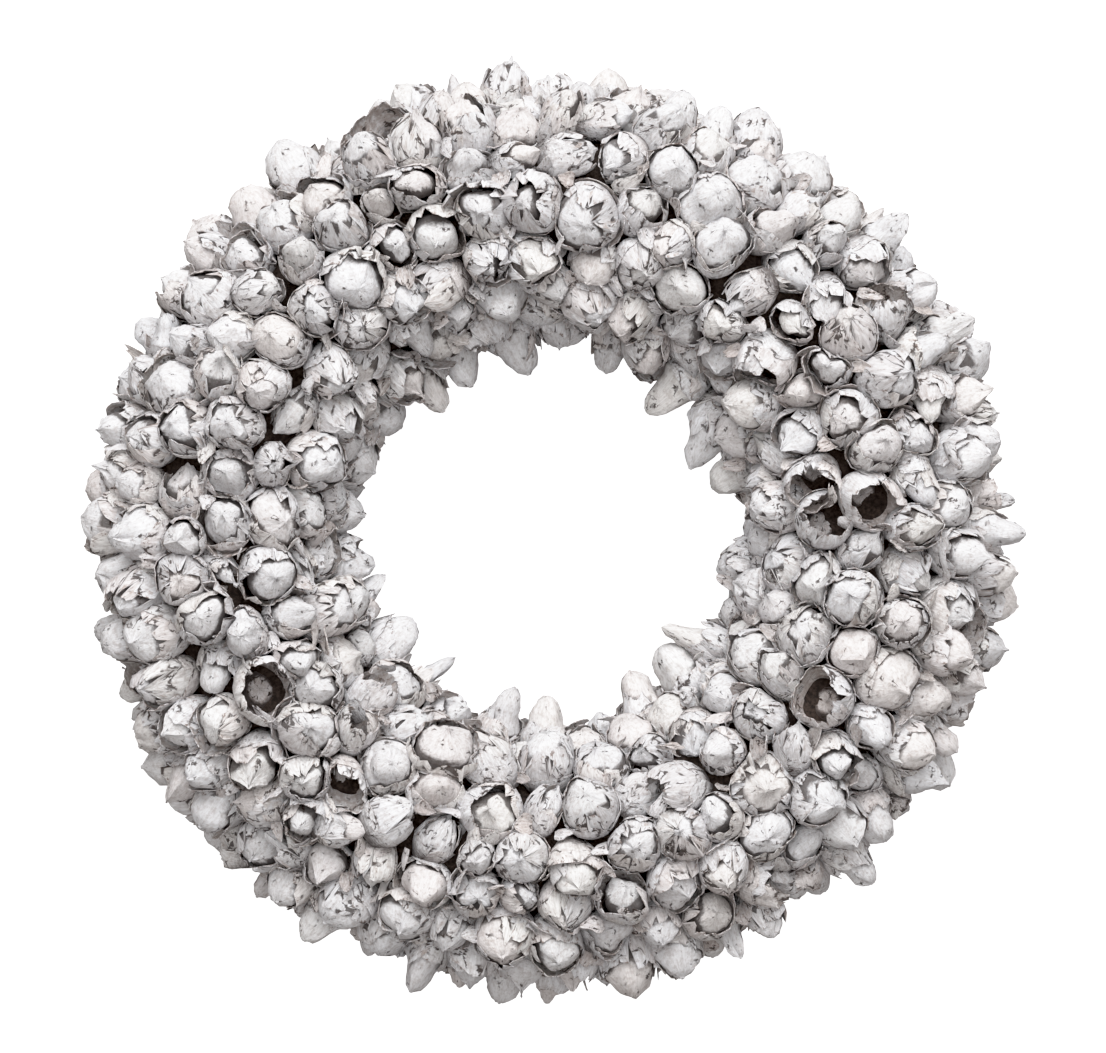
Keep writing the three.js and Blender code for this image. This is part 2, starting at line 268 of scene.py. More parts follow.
def clipped(polygon, a, b, c, label):
    """The part of a polygon where a*x + b*y <= c. A corner holds x, y and what lies beyond its edge."""
    kept = []
    for i, (x, y, beyond) in enumerate(polygon):
        next_x, next_y, _ = polygon[(i + 1) % len(polygon)]
        here = a * x + b * y - c
        there = a * next_x + b * next_y - c
        if here <= 0:
            kept.append((x, y, beyond))
        if (here <= 0) != (there <= 0):
            share = here / (here - there)
            cut = (x + share * (next_x - x), y + share * (next_y - y))
            kept.append((*cut, label if here <= 0 else beyond))
    return kept


def ground_of(buds, i):
    """The ground of bud i on the map, as corners counted from the bud's own place."""
    bud = buds[i]
    scale = map_scale(bud["y"])
    far = NEIGHBOURS_WITHIN * BUD_PITCH / scale
    ground = [(-far, -far, None), (far, -far, None), (far, far, None), (-far, far, None)]
    ground = clipped(ground, 0, -1, bud["y"] - MAP_LOW, "low")
    ground = clipped(ground, 0, 1, MAP_HIGH - bud["y"], "high")
    for j, other in enumerate(buds):
        dy = other["y"] - bud["y"]
        if j == i or abs(dy) > far:
            continue
        dx = wrapped(other["x"] - bud["x"])
        distance = math.hypot(dx, dy)
        if distance > far:
            continue
        own = (bud["radius"] / scale) ** 2
        reach = (distance**2 + own - (other["radius"] / other["scale"]) ** 2) / 2
        ground = clipped(ground, dx, dy, reach, j)
    return ground


def middle_of(ground):
    """The middle of a ground's area."""
    area, x, y = 0, 0, 0
    for i, (ax, ay, _) in enumerate(ground):
        bx, by, _ = ground[(i + 1) % len(ground)]
        cross = ax * by - bx * ay
        area += cross / 2
        x += (ax + bx) * cross / 6
        y += (ay + by) * cross / 6
    return x / area, y / area


def bud_layout():
    """Every bud: where it stands, the ground it covers, its kind, its lean and its tip's level."""
    draw = draws_from(SEED)
    buds = []
    row_step = 2 * COVERED_ANGLE / BUD_ROWS
    for row in range(BUD_ROWS):
        row_angle = -COVERED_ANGLE + (row + 0.5) * row_step
        row_length = 2 * math.pi * (RING_RADIUS + BELLY_RADIUS * math.sin(row_angle))
        count = math.floor(row_length / BUD_PITCH + 0.5)
        for n in range(count):
            along = n + 0.5 * (row % 2) + START_DISORDER * (next(draw) - 0.5)
            tube_angle = row_angle + START_DISORDER * row_step * (next(draw) - 0.5)
            radius = BUD_RADIUS * (SMALLEST_SHARE + SIZE_SPREAD * next(draw))
            buds.append({"x": 2 * math.pi * along / count, "y": map_height(tube_angle), "radius": radius})
    for step in range(SETTLING_STEPS + 1):
        for bud in buds:
            bud["scale"] = map_scale(bud["y"])
        grounds = [ground_of(buds, i) for i in range(len(buds))]
        for bud, ground in zip(buds, grounds):
            bud["ground"] = ground
            bud["middle"] = middle_of(ground)
            if step < SETTLING_STEPS:
                bud["x"] += bud["middle"][0]
                bud["y"] += bud["middle"][1]
    for bud in buds:
        kind = int(np.searchsorted(np.cumsum(KIND_SHARES), next(draw), side="right"))
        kind = min(kind, len(KINDS) - 1)
        bud["kind"] = KINDS[kind]
        bud["spin"] = 2 * math.pi * next(draw)
        bud["lean_angle"] = 2 * math.pi * next(draw)
        bud["lean"] = MOST_LEAN * next(draw)
        bud["tip"] = KIND_TOPS[kind] + TIP_SPREAD * (2 * next(draw) - 1)
        turn = wrapped(bud["x"]) / (2 * math.pi)
        bud["cluster"] = math.floor((turn + 1) % 1 * CLUSTERS)
    return buds


buds = bud_layout()
print(len(buds), "buds:", {kind: sum(b["kind"] == kind for b in buds) for kind in KINDS})

# %% [markdown]
# ## A mesh made of shells
# Every tepal, nut and chip is a small closed shell, and one piece of the wreath holds a few hundred
# of them. A helper gathers the shells, then writes them into one mesh. With each corner it keeps
# what the finishes read later: a fibre coordinate that runs from root to tip, how dirty and how deep
# in painted shade, how far inside and how near a torn rim the corner is. Each shell gets its own
# rectangle of the UV map, at one scale for all, so that nothing is stretched if the finish is baked.

# %% A mesh made of shells
UV_MARGIN = 0.6
UV_SPARE = 1.03


class Shells:
    """Gathers closed shells, and makes them one mesh."""

    def __init__(self):
        self.points, self.fibre, self.wear_and_shade = [], [], []
        self.faces = {3: [], 4: []}
        self.maps = {3: [], 4: []}
        self.finishes = {3: [], 4: []}
        self.sizes, self.owners = [], {3: [], 4: []}
        self.count = 0

    def add(self, points, fibre, wear_and_shade, faces, maps, size, finish):
        """Adds a shell. Its faces and their UV corners are lists of arrays, of 3 or of 4 corners."""
        for face, uv in zip(faces, maps):
            sides = face.shape[1]
            self.faces[sides].append(face + self.count)
            self.maps[sides].append(uv)
            self.finishes[sides].append(np.full(len(face), finish))
            self.owners[sides].append(np.full(len(face), len(self.sizes)))
        self.points.append(points)
        self.fibre.append(fibre)
        self.wear_and_shade.append(wear_and_shade)
        self.sizes.append(size)
        self.count += len(points)

    def rectangles(self):
        """Packs the shells' rectangles on shelves in a square, tallest first, and returns their corners."""
        sizes = np.array(self.sizes)
        side = math.sqrt(((sizes + UV_MARGIN).prod(axis=1)).sum()) * UV_SPARE
        places = np.zeros_like(sizes)
        x, y, shelf = UV_MARGIN / 2, UV_MARGIN / 2, 0
        for i in np.argsort(-sizes[:, 1], kind="stable"):
            if x + sizes[i, 0] > side:
                x, y, shelf = UV_MARGIN / 2, y + shelf + UV_MARGIN, 0
            places[i] = (x, y)
            x += sizes[i, 0] + UV_MARGIN
            shelf = max(shelf, sizes[i, 1])
        return places, max(side, y + shelf + UV_MARGIN)

    def mesh(self, name, materials, sharp_angle):
        """Writes the gathered shells into one mesh. Edges bent by more than the angle stay sharp."""
        kinds = [k for k in (4, 3) if self.faces[k]]
        faces = {k: np.concatenate(self.faces[k]) for k in kinds}
        places, side = self.rectangles()
        sizes = np.array(self.sizes)
        uv = []
        for k in kinds:
            owner = np.concatenate(self.owners[k])
            corner = np.concatenate(self.maps[k]) * sizes[owner][:, None, :] + places[owner][:, None, :]
            uv.append((corner / side).reshape(-1, 2))
        lengths = np.concatenate([np.full(len(faces[k]), k) for k in kinds])
        made = bpy.data.meshes.new(name)
        made.vertices.add(self.count)
        made.vertices.foreach_set("co", (np.concatenate(self.points) * MM).astype(np.float32).ravel())
        made.loops.add(int(lengths.sum()))
        made.loops.foreach_set("vertex_index", np.concatenate([faces[k].ravel() for k in kinds]))
        made.polygons.add(len(lengths))
        made.polygons.foreach_set("loop_start", np.concatenate(([0], np.cumsum(lengths)[:-1])))
        finishes = np.concatenate([np.concatenate(self.finishes[k]) for k in kinds])
        made.polygons.foreach_set("material_index", finishes.astype(np.int32))
        made.update(calc_edges=True)
        layer = made.uv_layers.new(name="OFBake")
        layer.uv.foreach_set("vector", np.concatenate(uv).astype(np.float32).ravel())
        fibre = made.attributes.new("fibre", "FLOAT_VECTOR", "POINT")
        fibre.data.foreach_set("vector", np.concatenate(self.fibre).astype(np.float32).ravel())
        wear_and_shade = made.attributes.new("wear_and_shade", "FLOAT_COLOR", "POINT")
        wear_and_shade.data.foreach_set("color", np.concatenate(self.wear_and_shade).astype(np.float32).ravel())
        made.shade_smooth()
        made.set_sharp_from_angle(angle=sharp_angle)
        for material in materials:
            made.materials.append(material)
        return made


def triangles_of(mesh):
    """How many triangles the mesh comes to when its faces are split."""
    return sum(len(p.vertices) - 2 for p in mesh.polygons)


print("shells lie", UV_MARGIN, "mm apart on the UV map")

# %% [markdown]
# ## A sheet with thickness
# A tepal is a sheet about as thick as card. It is modelled as a grid that runs up its outer face,
# over the rim and down its inner face, then is closed along its foot and sides. So the rim is a
# real edge that catches light, with a dark inside behind it, and no face is left open.

# %% A sheet with thickness
SIDE_BAND = 0.03


def sheet_faces(columns, rows, holes=()):
    """The faces of a closed sheet and their UV corners. Rows run up outside, then down inside. A hole
    is named by its column and row: it goes through both faces and has walls of its own."""
    lines = 2 * (rows + 1)
    grid = np.arange(lines * (columns + 1)).reshape(lines, columns + 1)
    r, c = np.meshgrid(np.arange(lines), np.arange(columns), indexing="ij")
    r, c = r.ravel(), c.ravel()
    above = (r + 1) % lines
    quads = np.stack((grid[r, c], grid[r, c + 1], grid[above, c + 1], grid[above, c]), axis=1)
    left = SIDE_BAND + (1 - 2 * SIDE_BAND) * c / columns
    right = SIDE_BAND + (1 - 2 * SIDE_BAND) * (c + 1) / columns
    low, high = r / lines, (r + 1) / lines
    maps = np.stack((left, low, right, low, right, high, left, high), axis=1).reshape(-1, 4, 2)
    j = np.arange(rows)
    inner = lines - 1 - j
    sides = []
    side_maps = []
    for column, edge, rim in ((0, SIDE_BAND, 0), (columns, 1 - SIDE_BAND, 1)):
        line = grid[:, column]
        face = np.stack((line[j], line[j + 1], line[inner - 1], line[inner]), axis=1)
        at = np.full(rows, float(edge))
        to = np.full(rows, float(rim))
        uv = np.stack((at, j / lines, at, (j + 1) / lines, to, (j + 1) / lines, to, j / lines), axis=1)
        uv = uv.reshape(-1, 4, 2)
        sides.append(face if column == 0 else face[:, ::-1])
        side_maps.append(uv if column == 0 else uv[:, ::-1])
    kept = np.ones(len(quads), bool)
    for column, row in holes:
        back = lines - 2 - row
        kept[row * columns + column] = kept[back * columns + column] = False
        out = [(row, column), (row, column + 1), (row + 1, column + 1), (row + 1, column)]
        walls = []
        for (r, c), (next_r, next_c) in zip(out, out[1:] + out[:1]):
            outside = (grid[r, c], grid[next_r, next_c])
            walls.append((*outside, grid[lines - 1 - next_r, next_c], grid[lines - 1 - r, c]))
        sides.append(np.array(walls)[:, ::-1])
        side_maps.append(maps[[row * columns + column] * 4])
    return np.concatenate([quads[kept], *sides]), np.concatenate([maps[kept], *side_maps])


def smooth_step(low, high, value):
    """0 up to low, 1 from high on, and a soft rise between them."""
    share = np.clip((value - low) / (high - low), 0, 1)
    return share * share * (3 - 2 * share)


def ragged_line(rng, count, height, notches):
    """A torn edge of that many points: uneven all along, with a few deep notches."""
    rough = rng.normal(0, 1, count + 2)
    line = height * (0.6 * rough[1:-1] + 0.35 * (rough[:-2] + rough[2:]))
    line = line + height * 1.2 * np.sin(np.arange(count) * rng.uniform(0.5, 1.2) + rng.uniform(0, 6))
    for _ in range(notches):
        at = rng.integers(0, count)
        depth = height * rng.uniform(2.5, 6.5)
        line[at] -= depth
        if at + 1 < count:
            line[at + 1] -= depth * rng.uniform(0.1, 0.8)
    return line


print("a sheet of 15 by 5 has", 2 * len(sheet_faces(15, 5)[0]), "triangles")

# %% [markdown]
# ## The shape of a bud
# A bud's body is nearly a ball, pressed a little out of round by its neighbours, narrower at its
# root and drawn out to a tip. Its outline seen from the tip comes from its ground on the map, so
# the buds fit together like the real ones. Everything on a bud is laid on this body at some
# distance in or out: the nut inside, then the tepals round it.

# %% The shape of a bud
OUTLINE_SHARES = np.array((1, 1, 0.75, 0.6, 0.3))
OUTLINE_SAMPLES = 48
LONGEST_SHARE = 1.12
ROOT_LEVEL = 54
MEAN_BELLY = 74
MEAN_TIP = 96
RISES = np.linspace(0, 1, 60)
SIDE_VIEW_SAMPLES = 400
SHOULDER_POWER = 0.52
NOSE_POWER = 0.55
RIDGE_RAISE = 0.3
FACES_START, FACES_FULL = 0.05, 0.7
LOWEST_RISE = -1.2
ROOT_NARROWING = 0.38
ROOT_POWER = 2.2
ROOT_SLOPE = 0.84
ROOT_SLOPE_POWER = 1.2


def outline_of(bud):
    """The bud's outline seen from its tip, as the waves that make up its radius in millimetres."""
    scale = map_scale(bud["y"] + bud["middle"][1])
    corners = np.array([(y - bud["middle"][1], x - bud["middle"][0]) for x, y, _ in bud["ground"]]) * scale
    edges = np.roll(corners, -1, axis=0) - corners
    normals = np.stack((-edges[:, 1], edges[:, 0]), axis=1)
    normals /= np.linalg.norm(normals, axis=1)[:, None]
    distances = (normals * corners).sum(axis=1)
    turn = 2 * math.pi * np.arange(OUTLINE_SAMPLES) / OUTLINE_SAMPLES
    facing = normals @ np.stack((np.cos(turn), np.sin(turn)))
    reach = np.where(facing > 1e-6, distances[:, None] / np.maximum(facing, 1e-6), np.inf).min(axis=0)
    reach = np.minimum(reach, LONGEST_SHARE * reach.mean())
    return np.fft.rfft(reach)[: len(OUTLINE_SHARES)] / OUTLINE_SAMPLES * OUTLINE_SHARES


def outline_radius(outline, turn):
    """The outline's radius at an angle round the bud, added up from its waves."""
    radius = np.full(np.shape(turn), outline[0].real)
    for k in range(1, len(outline)):
        radius = radius + 2 * (outline[k] * np.exp(1j * k * np.asarray(turn))).real
    return radius


def side_view(form, steepness):
    """A bud's side view above its belly, at even steps along its line: radius and height as shares of
    the belly's radius and of the whole height, and how fast each of them changes. Round shoulders
    reach up to a share of the height, and a nose stands on them."""
    up = np.linspace(0, 1, SIDE_VIEW_SAMPLES)
    shoulders = np.clip(1 - (up / form["shoulder"]) ** form["blunt"], 0, 1) ** SHOULDER_POWER
    nose = form["nose"] * (1 - up ** form["taper"]) ** NOSE_POWER
    radius = (shoulders**4 + nose**4) ** 0.25
    radius = radius / radius[0]
    length = np.concatenate(([0], np.cumsum(np.hypot(np.diff(radius), steepness * np.diff(up)))))
    share = np.interp(RISES * length[-1], length, radius)
    height = np.interp(RISES * length[-1], length, up)
    return {"share": share, "height": height, "narrowing": -np.gradient(share), "climb": np.gradient(height)}


def three_sided(turn, strength):
    """A radius factor: above 1 on three ridges, and below 1 on the faces between them."""
    third = 2 * math.pi / 3
    from_middle = np.mod(turn, third) - third / 2
    triangle = math.cos(third / 2) / np.cos(from_middle)
    return (1 + RIDGE_RAISE * strength) / (1 - strength + strength / triangle)


def dent_depth(dents, turn, rise):
    """How deep the bud's body is dented there, in millimetres."""
    arc = np.clip(rise, -1, 1) * math.pi / 2
    x, y, z = np.cos(arc) * np.cos(turn), np.cos(arc) * np.sin(turn), np.sin(arc)
    depth = 0
    for (dent_x, dent_y, dent_z), spread, amount in dents:
        away = 1 - (x * dent_x + y * dent_y + z * dent_z)
        depth = depth + amount * np.exp(-away / spread)
    return depth


def body_points(body, turn, rise, out):
    """Points on a bud's body: rise is -1 at the root, 0 at the belly and 1 at the tip, and out is the
    distance outside the body in millimetres."""
    turn, rise, out = np.broadcast_arrays(turn, rise, out)
    high, below = np.clip(rise, 0, 1), np.clip(-rise, 0, -LOWEST_RISE)
    side = {name: np.interp(high, RISES, line) for name, line in body["side"].items()}
    width = outline_radius(body["outline"], turn) * body["share"] - body["clearance"]
    flatness = body["ridges"] * smooth_step(FACES_START, FACES_FULL, high)
    width = width * three_sided(turn - body["spin"], flatness)
    out = out - dent_depth(body["dents"], turn, rise)
    root_height = body["belly"] - ROOT_LEVEL
    share = side["share"] - ROOT_NARROWING * below**ROOT_POWER
    level = body["belly"] + body["crown"] * side["height"] - root_height * below
    side_out = np.where(rise > 0, body["crown"] * side["climb"], 1.0)
    undercut = -ROOT_SLOPE * below**ROOT_SLOPE_POWER * width / root_height
    side_up = np.where(rise > 0, width * side["narrowing"], undercut)
    length = np.hypot(side_out, side_up)
    reach = width * share + out * side_out / length
    level = level + out * side_up / length
    return np.stack((reach * np.cos(turn), reach * np.sin(turn), level), axis=-1)


outlines = [outline_of(bud) for bud in buds]
mean_radius = float(np.mean([o[0].real for o in outlines]))
print("a bud's mean radius:", round(mean_radius, 1), "mm")

# %% [markdown]
# ## Where a bud points
# Each bud points straight away from the tube and then leans to one side. The side is the frame's,
# but the lean is a few times the frame's, since buds glued on by hand seldom stand straight. Some
# were glued on lying over, so that the back of a tepal shows. The lowest buds are pressed against
# whatever the wreath lies on, so their corners stop just above it.

# %% Where a bud points
FLOOR_GAP = 1.2
FLOOR_SOFTNESS = 2.5
FLOOR_REACH = 12
LARGEST_POWER = 30


def turned_towards(direction, angle):
    """A turn that tips the z axis by an angle towards a direction in the x-y plane."""
    axis = Vector((-math.sin(direction), math.cos(direction), 0))
    return np.array(Matrix.Rotation(angle, 3, axis))


def place_on_tube(ring_angle, tube_angle):
    """The tube's centre point there, and the axes across the tube, along the ring and outwards."""
    radial = np.array((math.cos(ring_angle), math.sin(ring_angle), 0))
    up = np.array((0, 0, 1.0))
    along = np.array((-math.sin(ring_angle), math.cos(ring_angle), 0))
    outwards = math.sin(tube_angle) * radial + math.cos(tube_angle) * up
    across = math.cos(tube_angle) * radial - math.sin(tube_angle) * up
    centre = RING_RADIUS * radial + TUBE_HEIGHT * up
    return centre, np.stack((across, along, outwards), axis=1)


def above_floor(points):
    """Eases low points up, so that none is under the floor gap."""
    z = points[:, 2]
    above = np.clip((z - FLOOR_GAP) / FLOOR_SOFTNESS, -LARGEST_POWER, LARGEST_POWER)
    eased = FLOOR_GAP + FLOOR_SOFTNESS * np.log1p(np.exp(above))
    points[:, 2] = np.where(z > FLOOR_GAP + FLOOR_REACH, z, eased)
    return points


def stand_of(bud):
    """The tube's centre point and axes under the middle of a bud."""
    return place_on_tube(bud["x"] + bud["middle"][0], tube_angle_at(bud["y"] + bud["middle"][1]))


def bud_stance(bud, pivot, direction, angle, shift, lift):
    """A function that takes a bud's own points to the wreath: tipped over about the pivot, moved
    aside by the shift and out by the lift."""
    centre, axes = stand_of(bud)
    tip_over = turned_towards(direction, angle)

    def placed(points):
        points = points.reshape(-1, 3) - (0, 0, pivot)
        points = points @ tip_over.T + (*shift, pivot + lift)
        return above_floor(points @ axes.T + centre)

    return placed


stands = [stand_of(bud) for bud in buds]
tip_heights = [centre[2] + axes[2, 2] * bud["tip"] for bud, (centre, axes) in zip(buds, stands)]
print("the frame's highest tip:", round(max(tip_heights), 1), "mm")

# %% [markdown]
# ## The rim and the lift of a tepal
# A dried tepal is torn along its rim and split down from it here and there. It also ripples, curls
# where it is thin, and peels off the bud in places. All of that can be drawn before there is a bud:
# how far up each column of the sheet reaches, and how far each point stands off.

# %% The rim and the lift of a tepal
FRONT_COLUMNS = 15
WHOLE_UP_TO_COLUMNS = 12
DROP_POWER = 2.6
SHORTEST_TEPAL = 0.15
HIGHEST_RIM = 0.86
RIPPLE = 0.16
RIM_CURL = (0.25, 0.35)


def torn_rim(rng, columns, foot, rim, drop, rag):
    """Where a tepal's columns lie from side to side, and how far up each one reaches. At a split the
    columns on both sides close in, and the one between them is cut down."""
    across = np.linspace(-1, 1, columns + 1)
    splits = []
    if columns > WHOLE_UP_TO_COLUMNS:
        splits = rng.permutation(np.arange(3, columns - 2, 3))[: rng.integers(1, 4)]
    for column in splits:
        across[[column - 1, column + 1]] = across[column] + rng.uniform(0.015, 0.1) * np.array((-1, 1))
    edge = rim - drop * np.abs(across) ** DROP_POWER
    edge = edge + ragged_line(rng, columns + 1, rag, rng.integers(1, 4))
    for column in splits:
        edge[column] -= rag * rng.uniform(3, 11)
    return across, np.clip(edge, foot + SHORTEST_TEPAL, HIGHEST_RIM)


def lift_of(rng, across, up, flare, curl_up):
    """How far each point stands off the bud: its ripple, its curl, and where it flares and peels."""
    high = up[:, None]
    ripple = RIPPLE * np.cos(across * rng.uniform(5, 9) + rng.uniform(0, 6))[None, :] * high
    curl = rng.normal(*RIM_CURL, len(across))[None, :] * smooth_step(0.75, 1, up)[:, None]
    lifted = flare * smooth_step(0.35, 1, up)[:, None] ** 1.5 * (1 - 0.45 * across[None, :] ** 2)
    for _ in range(rng.integers(1, 4)):
        away = (across - rng.uniform(-1, 1)) / rng.uniform(0.08, 0.25)
        peeled = curl_up * rng.uniform(0.1, 1) * np.exp(-(away**2))[None, :]
        lifted = lifted + peeled * smooth_step(0.6, 1, up)[:, None]
    return ripple, curl, lifted


trial_rim = torn_rim(np.random.default_rng(0), FRONT_COLUMNS, foot=-0.9, rim=0.6, drop=0.2, rag=0.04)[1]
print("a torn rim goes from", round(trial_rim.min(), 2), "to", round(trial_rim.max(), 2))

# %% [markdown]
# ## One tepal
# A tepal spans nearly half of the bud. One of its sides is tucked under its neighbour and the other
# lies over the next, which gives a bud its overlapping arcs. It thins out towards its rim, and some
# have a hole near it. Low down it is painted darker, for dirt and for the shade deep between the
# buds. A painted shadow runs along the edge of the tepal that lies over it, and painted shade fills
# the deep part of its inside. The same function makes the short outer tepals.

# %% One tepal
NUT, TEPAL, CHIP, BED = range(4)
FIBRE_RADIUS = 7.5
FIBRE_LENGTH = 28
HOLED_SHARE = 0.35
THICKNESS = 0.85
THINNER_AT_RIM = 0.4
THINNER_AT_SIDES = 0.12
SHADE_AND_DIRT_LEVELS = (54, 69)
OVERLAP_PLACE, OVERLAP_WIDTH, OVERLAP_SHADOW = -0.5, 0.13, 0.4


def fibre_at(turn, length, offset):
    """The fibre coordinate: two numbers round the bud and one along it, in millimetres."""
    turn, length = np.broadcast_arrays(turn, length)
    around = np.stack((FIBRE_RADIUS * np.cos(turn), FIBRE_RADIUS * np.sin(turn), length), axis=-1)
    return (around + offset).reshape(-1, 3)


def tepal_wear_and_shade(levels, across, up, inside_dirt, tint):
    """The wear and painted shade of a tepal's points, outside and then inside: dirt and painted shade,
    inside, near the rim, tint.
    """
    ones = np.ones((len(up), len(across)))
    # Painted shade with dirt: the lower a point lies between the buds, the darker it is painted.
    dirt = 1 - smooth_step(*SHADE_AND_DIRT_LEVELS, levels)
    # A painted shadow line on the outer face, along the edge of the neighbouring tepal that lies over it.
    overlap = (across - OVERLAP_PLACE) / OVERLAP_WIDTH
    outer_dirt = OVERLAP_SHADOW * np.exp(-(overlap**2))[None, :] * ones
    # Painted shade on the inner face, deep down in the cup.
    inner_dirt = inside_dirt * (1 - smooth_step(0.4, 0.95, up))[:, None] * ones
    dirt = np.maximum(dirt, np.concatenate((outer_dirt, inner_dirt[::-1])))
    inside = np.concatenate((0 * ones, ones))
    near_rim = smooth_step(0.9, 1, up)[:, None] * ones
    near_rim = np.maximum(near_rim, smooth_step(0.86, 1, np.abs(across))[None, :])
    near_rim = np.concatenate((near_rim, near_rim[::-1]))
    return np.stack((dirt, inside, near_rim, np.full_like(inside, tint)), axis=-1).reshape(-1, 4)


def add_tepal(shells, placed, body, rng, grid, turn, half, foot, rim, drop, stand, tuck, flare,
              curl_up, rag):
    """Lays a tepal on a bud. Turn is the angle that it is centred on and half is half its width, both
    round the bud. It reaches from its foot to its rim, and stands off by a little more at one side."""
    columns, rows = grid
    up = 1 - (1 - np.linspace(0, 1, rows + 1)) ** 1.7
    across, edge = torn_rim(rng, columns, foot, rim, drop, rag)
    rise = foot + (edge[None, :] - foot) * up[:, None]
    sway = 0.05 * rng.normal(0, 1, rows + 1)
    spread = 0.82 + 0.18 * smooth_step(0, 0.5, up)
    angle = turn + half * across[None, :] * spread[:, None] + sway[:, None]
    holes = []
    if columns == FRONT_COLUMNS and rng.uniform() < HOLED_SHARE:
        column, row = rng.integers(3, columns - 3), rng.integers(rows - 3, rows - 1)
        holes = [(column, row)]
        pinched = row + rng.integers(0, 2)
        angle[pinched, column + 1] -= 0.8 * (angle[pinched, column + 1] - angle[pinched, column])
        rise[row : row + 2, column : column + 2] += 0.03 * rng.normal(0, 1, (2, 2))
    ripple, curl, lifted = lift_of(rng, across, up, flare, curl_up)
    out = stand + tuck * across[None, :] + ripple + curl + lifted
    thick = THICKNESS - THINNER_AT_RIM * up[:, None] ** 2 - THINNER_AT_SIDES * np.abs(across[None, :]) ** 3
    outer = body_points(body, angle, rise, out)
    inner = body_points(body, angle, rise, out - thick)
    both = np.concatenate((outer, inner[::-1]))
    wear_and_shade = tepal_wear_and_shade(both[..., 2], across, up, body["inside_dirt"], rng.uniform())
    angles = np.concatenate((angle, angle[::-1]))
    length = FIBRE_LENGTH * np.concatenate((up, up[::-1]))[:, None] * np.ones_like(angles)
    fibre = fibre_at(angles, length, rng.uniform(-50, 50, 3))
    faces, maps = sheet_faces(columns, rows, holes)
    width = 2 * half * body["outline"][0].real
    height = 2.2 * (body["crown"] * max(rim, 0.1) * 1.2 + 18 * abs(foot))
    shells.add(placed(both), fibre, wear_and_shade, [faces], [maps], (width, height), TEPAL)


print("finishes:", {"nut": NUT, "tepal": TEPAL, "chip": CHIP, "bed": BED})

# %% [markdown]
# ## The nut
# The young nut fills its cup. Near its tip it has three flat faces that meet in blunt ridges, weak
# on some buds and strong on others, and it ends in a small nipple. It is made of rings. Most of it
# is hidden in the cup, so one ring stands for all of that, and the others share out the part that
# shows at even steps.

# %% The nut
NUT_SIDES = 20
NUT_RINGS = 8
HIDDEN_RISE = -0.6
LAST_RISE = 0.9
NUT_ROUGHNESS = 0.4
FOLD_WIDTH = 0.12
LONGEST_NIPPLE = 0.9
BUTTON_SIZES = (0.4, 0.7)
BRIM_SHARE = 0.7
BASE_RISE, BRIM_RISE = 0.97, 0.99


def highest_edge(edges, turn):
    """How high the tepals reach at an angle round the bud."""
    highest = np.full_like(turn, -1)
    for middle, half, rim, drop in edges:
        across = (np.mod(turn - middle + math.pi, 2 * math.pi) - math.pi) / half
        reach = rim - drop * np.abs(across) ** DROP_POWER
        highest = np.where(np.abs(across) < 1, np.maximum(highest, reach), highest)
    return highest


def nut_faces(sides, count):
    """The faces of a nut of that many rings and their UV corners: bands, then a fan at each end."""
    ring, n = np.meshgrid(np.arange(count - 1), np.arange(sides), indexing="ij")
    ring, n = ring.ravel(), n.ravel()
    m = (n + 1) % sides
    above = ring + 1
    quads = np.stack((ring * sides + n, ring * sides + m, above * sides + m, above * sides + n), axis=1)
    low, high = (ring + 1) / (count + 1), (ring + 2) / (count + 1)
    left, right = n / sides, (n + 1) / sides
    quad_maps = np.stack((left, low, right, low, right, high, left, high), axis=1).reshape(-1, 4, 2)
    n = np.arange(sides)
    m = (n + 1) % sides
    last = (count - 1) * sides
    top = np.stack((last + n, last + m, np.full(sides, count * sides)), axis=1)
    bottom = np.stack((m, n, np.full(sides, count * sides + 1)), axis=1)
    left, right, middle = n / sides, (n + 1) / sides, (n + 0.5) / sides
    at_top, at_foot = np.full(sides, count / (count + 1)), np.full(sides, 1 / (count + 1))
    top_maps = np.stack((left, at_top, right, at_top, middle, np.ones(sides)), axis=1).reshape(-1, 3, 2)
    foot_maps = np.stack((right, at_foot, left, at_foot, middle, np.zeros(sides)), axis=1).reshape(-1, 3, 2)
    return [quads, np.concatenate((top, bottom))], [quad_maps, np.concatenate((top_maps, foot_maps))]


